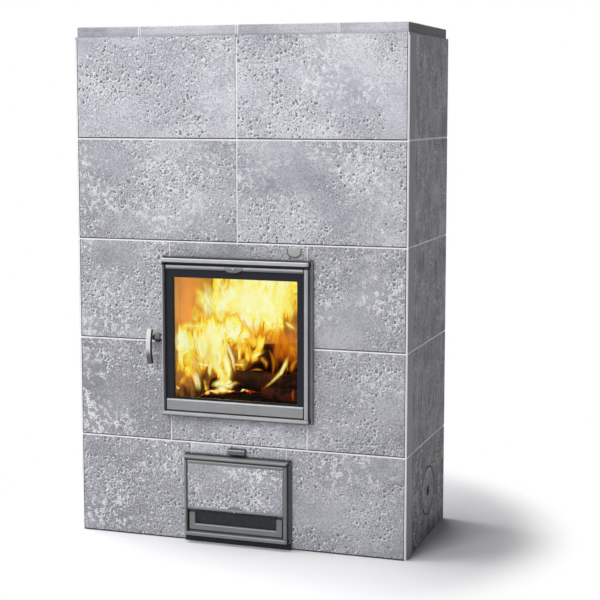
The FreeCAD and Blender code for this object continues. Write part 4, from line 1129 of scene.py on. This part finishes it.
def curtainFinish(name, blobs, shape):
    finish, tree, shader = newFlame(name)
    place = objectPoint(tree)
    sway = streaks(tree, place, *shape["sway"], output="Color")
    sway = vector(tree, "SUBTRACT", sway, (0.5, 0.5, 0.5))
    bent = vector(tree, "MULTIPLY_ADD", sway, shape["swayReach"], place)
    licks = streaks(tree, bent, *shape["licks"])
    x, z = axes(tree, bent, "XZ")
    heat = 0.0
    for middle, height, halfWidth, halfHeight, strength in blobs:
        across = calc(tree, "MULTIPLY_ADD", x, 1 / halfWidth, -middle / halfWidth)
        up = calc(tree, "MULTIPLY_ADD", z, 1 / halfHeight, -height / halfHeight)
        away = calc(tree, "MULTIPLY_ADD", across, across, times(tree, up, up))
        soft = calc(tree, "EXPONENT", times(tree, away, -1.0))
        heat = calc(tree, "MULTIPLY_ADD", soft, strength, heat)
    heat = times(tree, heat, fade(tree, licks, *shape["lickHeat"]))
    burn(tree, shader, heat, fade(tree, heat, *shape["alpha"]))
    return finish


def addCurtain(name, look, shape):
    columns, rows = shape["segments"]
    low, high = look["rise"]
    left, right = look["span"]
    bm = bmesh.new()
    bmesh.ops.create_grid(bm, x_segments=columns, y_segments=rows, size=1.0)
    for v in bm.verts:
        u, t = v.co.x, (v.co.y + 1) / 2
        wave = shape["wave"] * math.sin(shape["waveAcross"] * u + shape["waveUp"] * t)
        y = look["y"] + look["bulge"] * (wave - shape["arch"] * u * u)
        v.co = (left + (right - left) * (u + 1) / 2, y, low + (high - low) * t)
    newPiece(name, bm, curtainFinish(name, look["blobs"], shape), "root")


for curtainName, curtainLook in curtainLooks.items():
    addCurtain(curtainName, curtainLook, curtainShape)

# Flame tongues, laid out on a zoomed view of the window, in steps across and down from its upper left
glassFace = glassLow.y
windowLook = {"left": glassLow.x - 0.01584, "top": glassHigh.z - 0.02657,
              "across": 0.00032242, "down": 0.0003072, "slope": 0.0000132,  # metres for each step
              "wall": -0.238, "nearest": 0.03, "apart": 0.0007, "layers": 5, "overhang": 0.2}
tongueShape = {
    "segments": (10, 36), "foot": 0.10, "spread": 0.86, "fullness": 0.8, "narrowest": 0.10, "half": 0.72,
    "swing": 0.42, "swingAcross": 26, "swingUp": 15, "swingSeed": 20, "cup": 0.2, "seedStep": 0.37,
    "threads": ((4.0, 1.6, 40.0), 3.0, 0.55, 1.1), "threadHeat": (0.32, 0.66, 0.84, 1.20),
    "threadAlpha": (0.34, 0.60, 0.55, 1.0), "sway": ((38, 38, 18), 2.0, 0.5, 0.5), "ragged": 1.6,
    "edge": (0.96, 0.0),
    "baseFade": (0.0, 0.34), "tipFade": (1.0, 0.60), "core": 1.15, "heatAlpha": (0.15, 0.8, 0.5, 1.0),
    "rim": (0.58, 0.74, 0.04, 0.40),  # low rims are orange, high ones pale
}
flameLooks = {
    # each tongue: base, bend and tip, depth behind the glass in metres, greatest width in steps, heat
    "columnFlames": {"widen": 1.5, "heat": 1.25, "tongues": [
        ((565, 640), (520, 330), (505, 20), 0.30, 150, 0.60),
        ((470, 440), (415, 300), (395, 110), 0.27, 95, 0.42),
        ((620, 430), (640, 290), (590, 190), 0.29, 80, 0.58),
        ((590, 540), (670, 360), (640, 240), 0.28, 60, 0.52),
        ((400, 600), (380, 480), (430, 340), 0.26, 80, 0.40),
        ((520, 600), (480, 420), (540, 240), 0.25, 40, 0.70),
    ]},
    "plumeFlames": {"widen": 1.55, "heat": 1.08, "tongues": [
        ((640, 600), (720, 300), (745, 10), 0.34, 190, 0.92),
        ((770, 600), (830, 300), (900, 10), 0.36, 230, 0.66),
        ((960, 600), (1000, 320), (1010, 10), 0.35, 220, 0.84),
        ((1060, 600), (1150, 330), (1160, 30), 0.33, 210, 0.88),
        ((1160, 535), (1255, 420), (1240, 100), 0.31, 150, 0.80),
        ((1305, 520), (1330, 300), (1350, 20), 0.37, 190, 0.62),
        ((1440, 600), (1480, 350), (1440, 90), 0.30, 70, 0.50),
        ((1505, 430), (1470, 260), (1512, 100), 0.29, 45, 0.56),
        ((690, 480), (650, 400), (720, 240), 0.28, 110, 1.0),
        ((1010, 520), (960, 440), (1010, 300), 0.27, 80, 0.95),
        ((850, 560), (880, 470), (820, 380), 0.26, 60, 0.55),
    ]},
    "tailFlames": {"widen": 1.15, "heat": 1.0, "tongues": [
        ((1110, 420), (1170, 600), (1430, 640), 0.22, 70, 0.74),
        ((1375, 540), (1450, 620), (1530, 660), 0.21, 55, 0.66),
        ((1290, 560), (1330, 600), (1420, 600), 0.20, 40, 0.60),
    ]},
    "bandFlames": {"widen": 1.5, "heat": 1.0, "tongues": [
        ((150, 640), (380, 575), (600, 600), 0.24, 80, 0.58),
        ((560, 620), (760, 660), (1010, 590), 0.25, 170, 0.68),
        ((790, 800), (900, 730), (1060, 620), 0.23, 150, 0.60),
        ((1040, 590), (1065, 700), (1005, 850), 0.18, 36, 0.62),
        ((900, 720), (980, 700), (1020, 760), 0.19, 34, 0.74),
        ((740, 590), (830, 610), (900, 590), 0.20, 26, 0.78),
    ]},
    "blobFlames": {"widen": 1.3, "heat": 1.0, "tongues": [
        ((200, 930), (230, 780), (240, 630), 0.045, 200, 1.0),
        ((145, 975), (280, 950), (345, 800), 0.045, 42, 0.86),
        ((170, 900), (200, 850), (310, 840), 0.045, 70, 0.55),
    ]},
    "strandFlames": {"widen": 1.45, "heat": 1.12, "tongues": [
        ((345, 600), (310, 840), (440, 1300), 0.16, 110, 0.74),
        ((440, 600), (470, 860), (545, 1090), 0.17, 110, 0.62),
        ((640, 580), (630, 840), (610, 1150), 0.18, 190, 0.68),
        ((690, 720), (730, 1010), (800, 1270), 0.15, 110, 0.76),
        ((735, 750), (800, 960), (850, 1180), 0.14, 34, 0.86),
        ((480, 880), (610, 1010), (750, 1270), 0.16, 100, 0.64),
        ((560, 960), (580, 1090), (560, 1230), 0.13, 50, 0.58),
        ((440, 700), (425, 860), (500, 1060), 0.12, 34, 0.80),
        ((620, 820), (660, 960), (640, 1120), 0.13, 40, 0.84),
        ((690, 900), (760, 1080), (770, 1250), 0.12, 36, 0.92),
        ((360, 980), (480, 1080), (600, 1030), 0.14, 36, 0.66),
    ]},
    "lickFlames": {"widen": 1.3, "heat": 1.1, "tongues": [
        ((345, 1040), (380, 1230), (440, 1375), 0.11, 80, 0.90),
        ((160, 980), (225, 1070), (150, 1160), 0.12, 50, 0.34),
        ((205, 1320), (215, 1180), (300, 1090), 0.11, 60, 0.34),
        ((150, 1285), (190, 1300), (215, 1330), 0.10, 30, 0.70),
        ((270, 1000), (330, 1120), (340, 1230), 0.13, 120, 0.40),
        ((470, 1180), (490, 1290), (530, 1375), 0.12, 50, 0.45),
    ]},
    "crestFlames": {"widen": 1.8, "heat": 1.0, "tongues": [
        ((540, 1300), (700, 1255), (930, 1243), 0.12, 60, 0.92),
        ((560, 1340), (680, 1320), (810, 1330), 0.11, 60, 0.80),
        ((700, 1250), (770, 1270), (830, 1240), 0.12, 60, 0.95),
        ((500, 1340), (520, 1370), (560, 1350), 0.10, 24, 0.60),
    ]},
    "logFlames": {"widen": 1.15, "heat": 1.0, "tongues": [
        ((790, 1040), (960, 1020), (1150, 940), 0.15, 110, 0.40),
        ((980, 960), (1090, 950), (1195, 860), 0.13, 60, 0.62),
        ((780, 890), (920, 880), (1120, 810), 0.14, 130, 0.36),
        ((800, 1045), (880, 1035), (1000, 1040), 0.12, 26, 0.60),
        ((1080, 960), (1200, 960), (1180, 1110), 0.12, 60, 0.34),
    ]},
    "veilFlames": {"widen": 1.15, "heat": 1.0, "tongues": [
        ((1270, 600), (1350, 860), (1290, 1180), 0.13, 110, 0.16),
        ((1450, 880), (1370, 1180), (1105, 1325), 0.11, 52, 0.70),
        ((1200, 840), (1310, 990), (1230, 1210), 0.10, 44, 0.26),
        ((1530, 640), (1500, 860), (1420, 1100), 0.14, 180, 0.19),
        ((1310, 620), (1440, 820), (1400, 1100), 0.15, 220, 0.18),
        ((990, 1110), (1080, 1060), (1175, 1115), 0.12, 20, 0.34),
        ((1450, 1150), (1500, 1010), (1555, 930), 0.12, 90, 0.26),
        ((1070, 520), (1080, 720), (1170, 900), 0.16, 150, 0.22),
        ((1500, 1270), (1470, 1390), (1500, 1450), 0.10, 30, 0.12),
    ]},
}


def tongueFinish(shape):
    # threads of flame run along each tongue, and its edges and ends fade out
    finish, tree, shader = newFlame("flameTongues")
    u, v = axes(tree, add(tree, "UVMap", uv_map="flame").outputs["UV"], "XY")
    heat, seed = axes(tree, add(tree, "UVMap", uv_map="heat").outputs["UV"], "XY")
    strip = add(tree, "CombineXYZ", {"X": u, "Y": v, "Z": seed}).outputs[0]
    threads = streaks(tree, strip, *shape["threads"])
    sway = streaks(tree, objectPoint(tree), *shape["sway"])
    across = times(tree, distance(tree, u, 0.5), 2.0)
    loose = calc(tree, "MULTIPLY_ADD", across, -shape["ragged"], shape["ragged"])
    ragged = times(tree, minus(tree, sway, 0.5), loose)
    soft = fade(tree, calc(tree, "ADD", across, ragged), *shape["edge"])
    ends = times(tree, fade(tree, v, *shape["baseFade"]), fade(tree, v, *shape["tipFade"]))
    soft = times(tree, soft, ends)
    rim = fade(tree, axes(tree, objectPoint(tree), "Z")[0], *shape["rim"])
    glow = calc(tree, "MULTIPLY_ADD", soft, minus(tree, shape["core"], rim), rim)
    glow = times(tree, times(tree, heat, glow), fade(tree, threads, *shape["threadHeat"]))
    alpha = times(tree, soft, fade(tree, threads, *shape["threadAlpha"]))
    burn(tree, shader, glow, times(tree, alpha, fade(tree, heat, *shape["heatAlpha"])))
    return finish


def behindGlass(look, across, down, depth):
    # a place seen in the window, carried back along the camera's line of sight
    eyeX, eyeY, eyeZ = cameraLook["place"]
    x = look["left"] + look["across"] * across
    z = look["top"] - look["down"] * down + look["slope"] * across
    back = depth / (glassFace - eyeY)
    return Vector((x + (x - eyeX) * back, glassFace + depth, z + (z - eyeZ) * back))


def clearDepth(look, places, depth, width):
    # no deeper than the left wall of the firebox allows
    eyeX, eyeY = cameraLook["place"][:2]
    for place in places:
        x = look["left"] + look["across"] * (place[0] - width * look["overhang"])
        toWall = (look["wall"] - x) * (glassFace - eyeY) / (x - eyeX)
        depth = min(depth, max(look["nearest"], toWall))
    return depth


def addTongues(name, look, window, shape, finish):
    columns, rows = shape["segments"]
    bm = bmesh.new()
    bm.loops.layers.uv.new("flame")
    heatMap = bm.loops.layers.uv.new("heat")
    for number, (*places, depth, width, heat) in enumerate(look["tongues"]):
        width *= look["widen"]
        heat = min(1.0, heat * look["heat"])
        depth = clearDepth(window, places, depth, width) + window["apart"] * (number % window["layers"])
        base, bend, tip = [behindGlass(window, across, down, depth) for across, down in places]
        greatest = (behindGlass(window, width, 0, depth) - behindGlass(window, 0, 0, depth)).x
        seed = (number * shape["seedStep"] + heat) % 1
        strip = bmesh.ops.create_grid(bm, x_segments=columns, y_segments=rows, size=1.0, calc_uvs=True)
        for v in strip["verts"]:
            u, t = v.co.x, (v.co.y + 1) / 2
            middle = base * (1 - t) ** 2 + bend * 2 * t * (1 - t) + tip * t ** 2
            along = ((bend - base) * (1 - t) + (tip - bend) * t).normalized()
            side = along.cross(Vector((0, 1, 0))).normalized()
            belly = math.sin(math.pi * (shape["foot"] + shape["spread"] * t)) ** shape["fullness"]
            wide = greatest * max(shape["narrowest"], belly)
            flat = middle + side * u * wide * shape["half"]
            swing = noise.noise(Vector((flat.x * shape["swingAcross"], flat.z * shape["swingUp"],
                                        shape["swingSeed"] * seed)))
            v.co = flat + side * swing * wide * shape["swing"] + Vector((0, shape["cup"] * wide * u * u, 0))
            for corner in v.link_loops:
                corner[heatMap].uv = (heat, seed)
    newPiece(name, bm, finish, "root")


tongueGlow = tongueFinish(tongueShape)
for tongueName, tongueLook in flameLooks.items():
    addTongues(tongueName, tongueLook, windowLook, tongueShape, tongueGlow)

# Two small lamps for the light of the fire on the lining
fireLight = (1.0, 0.52, 0.13)
fireLamps = {"fireGlowLow": {"place": (-0.08, -0.14, 0.62), "power": 1.0, "radius": 0.05},
             "fireGlowHigh": {"place": (-0.06, -0.10, 0.82), "power": 1.5, "radius": 0.06}}


def addFireLamp(name, look):
    data = bpy.data.lights.new(name, "POINT")
    data.color = fireLight
    data.energy = look["power"]
    data.shadow_soft_size = look["radius"]
    lamp = bpy.data.objects.new(name, data)
    lamp.location = look["place"]
    scene.collection.objects.link(lamp)


for lampName, lampLook in fireLamps.items():
    addFireLamp(lampName, lampLook)
print("fire lit")
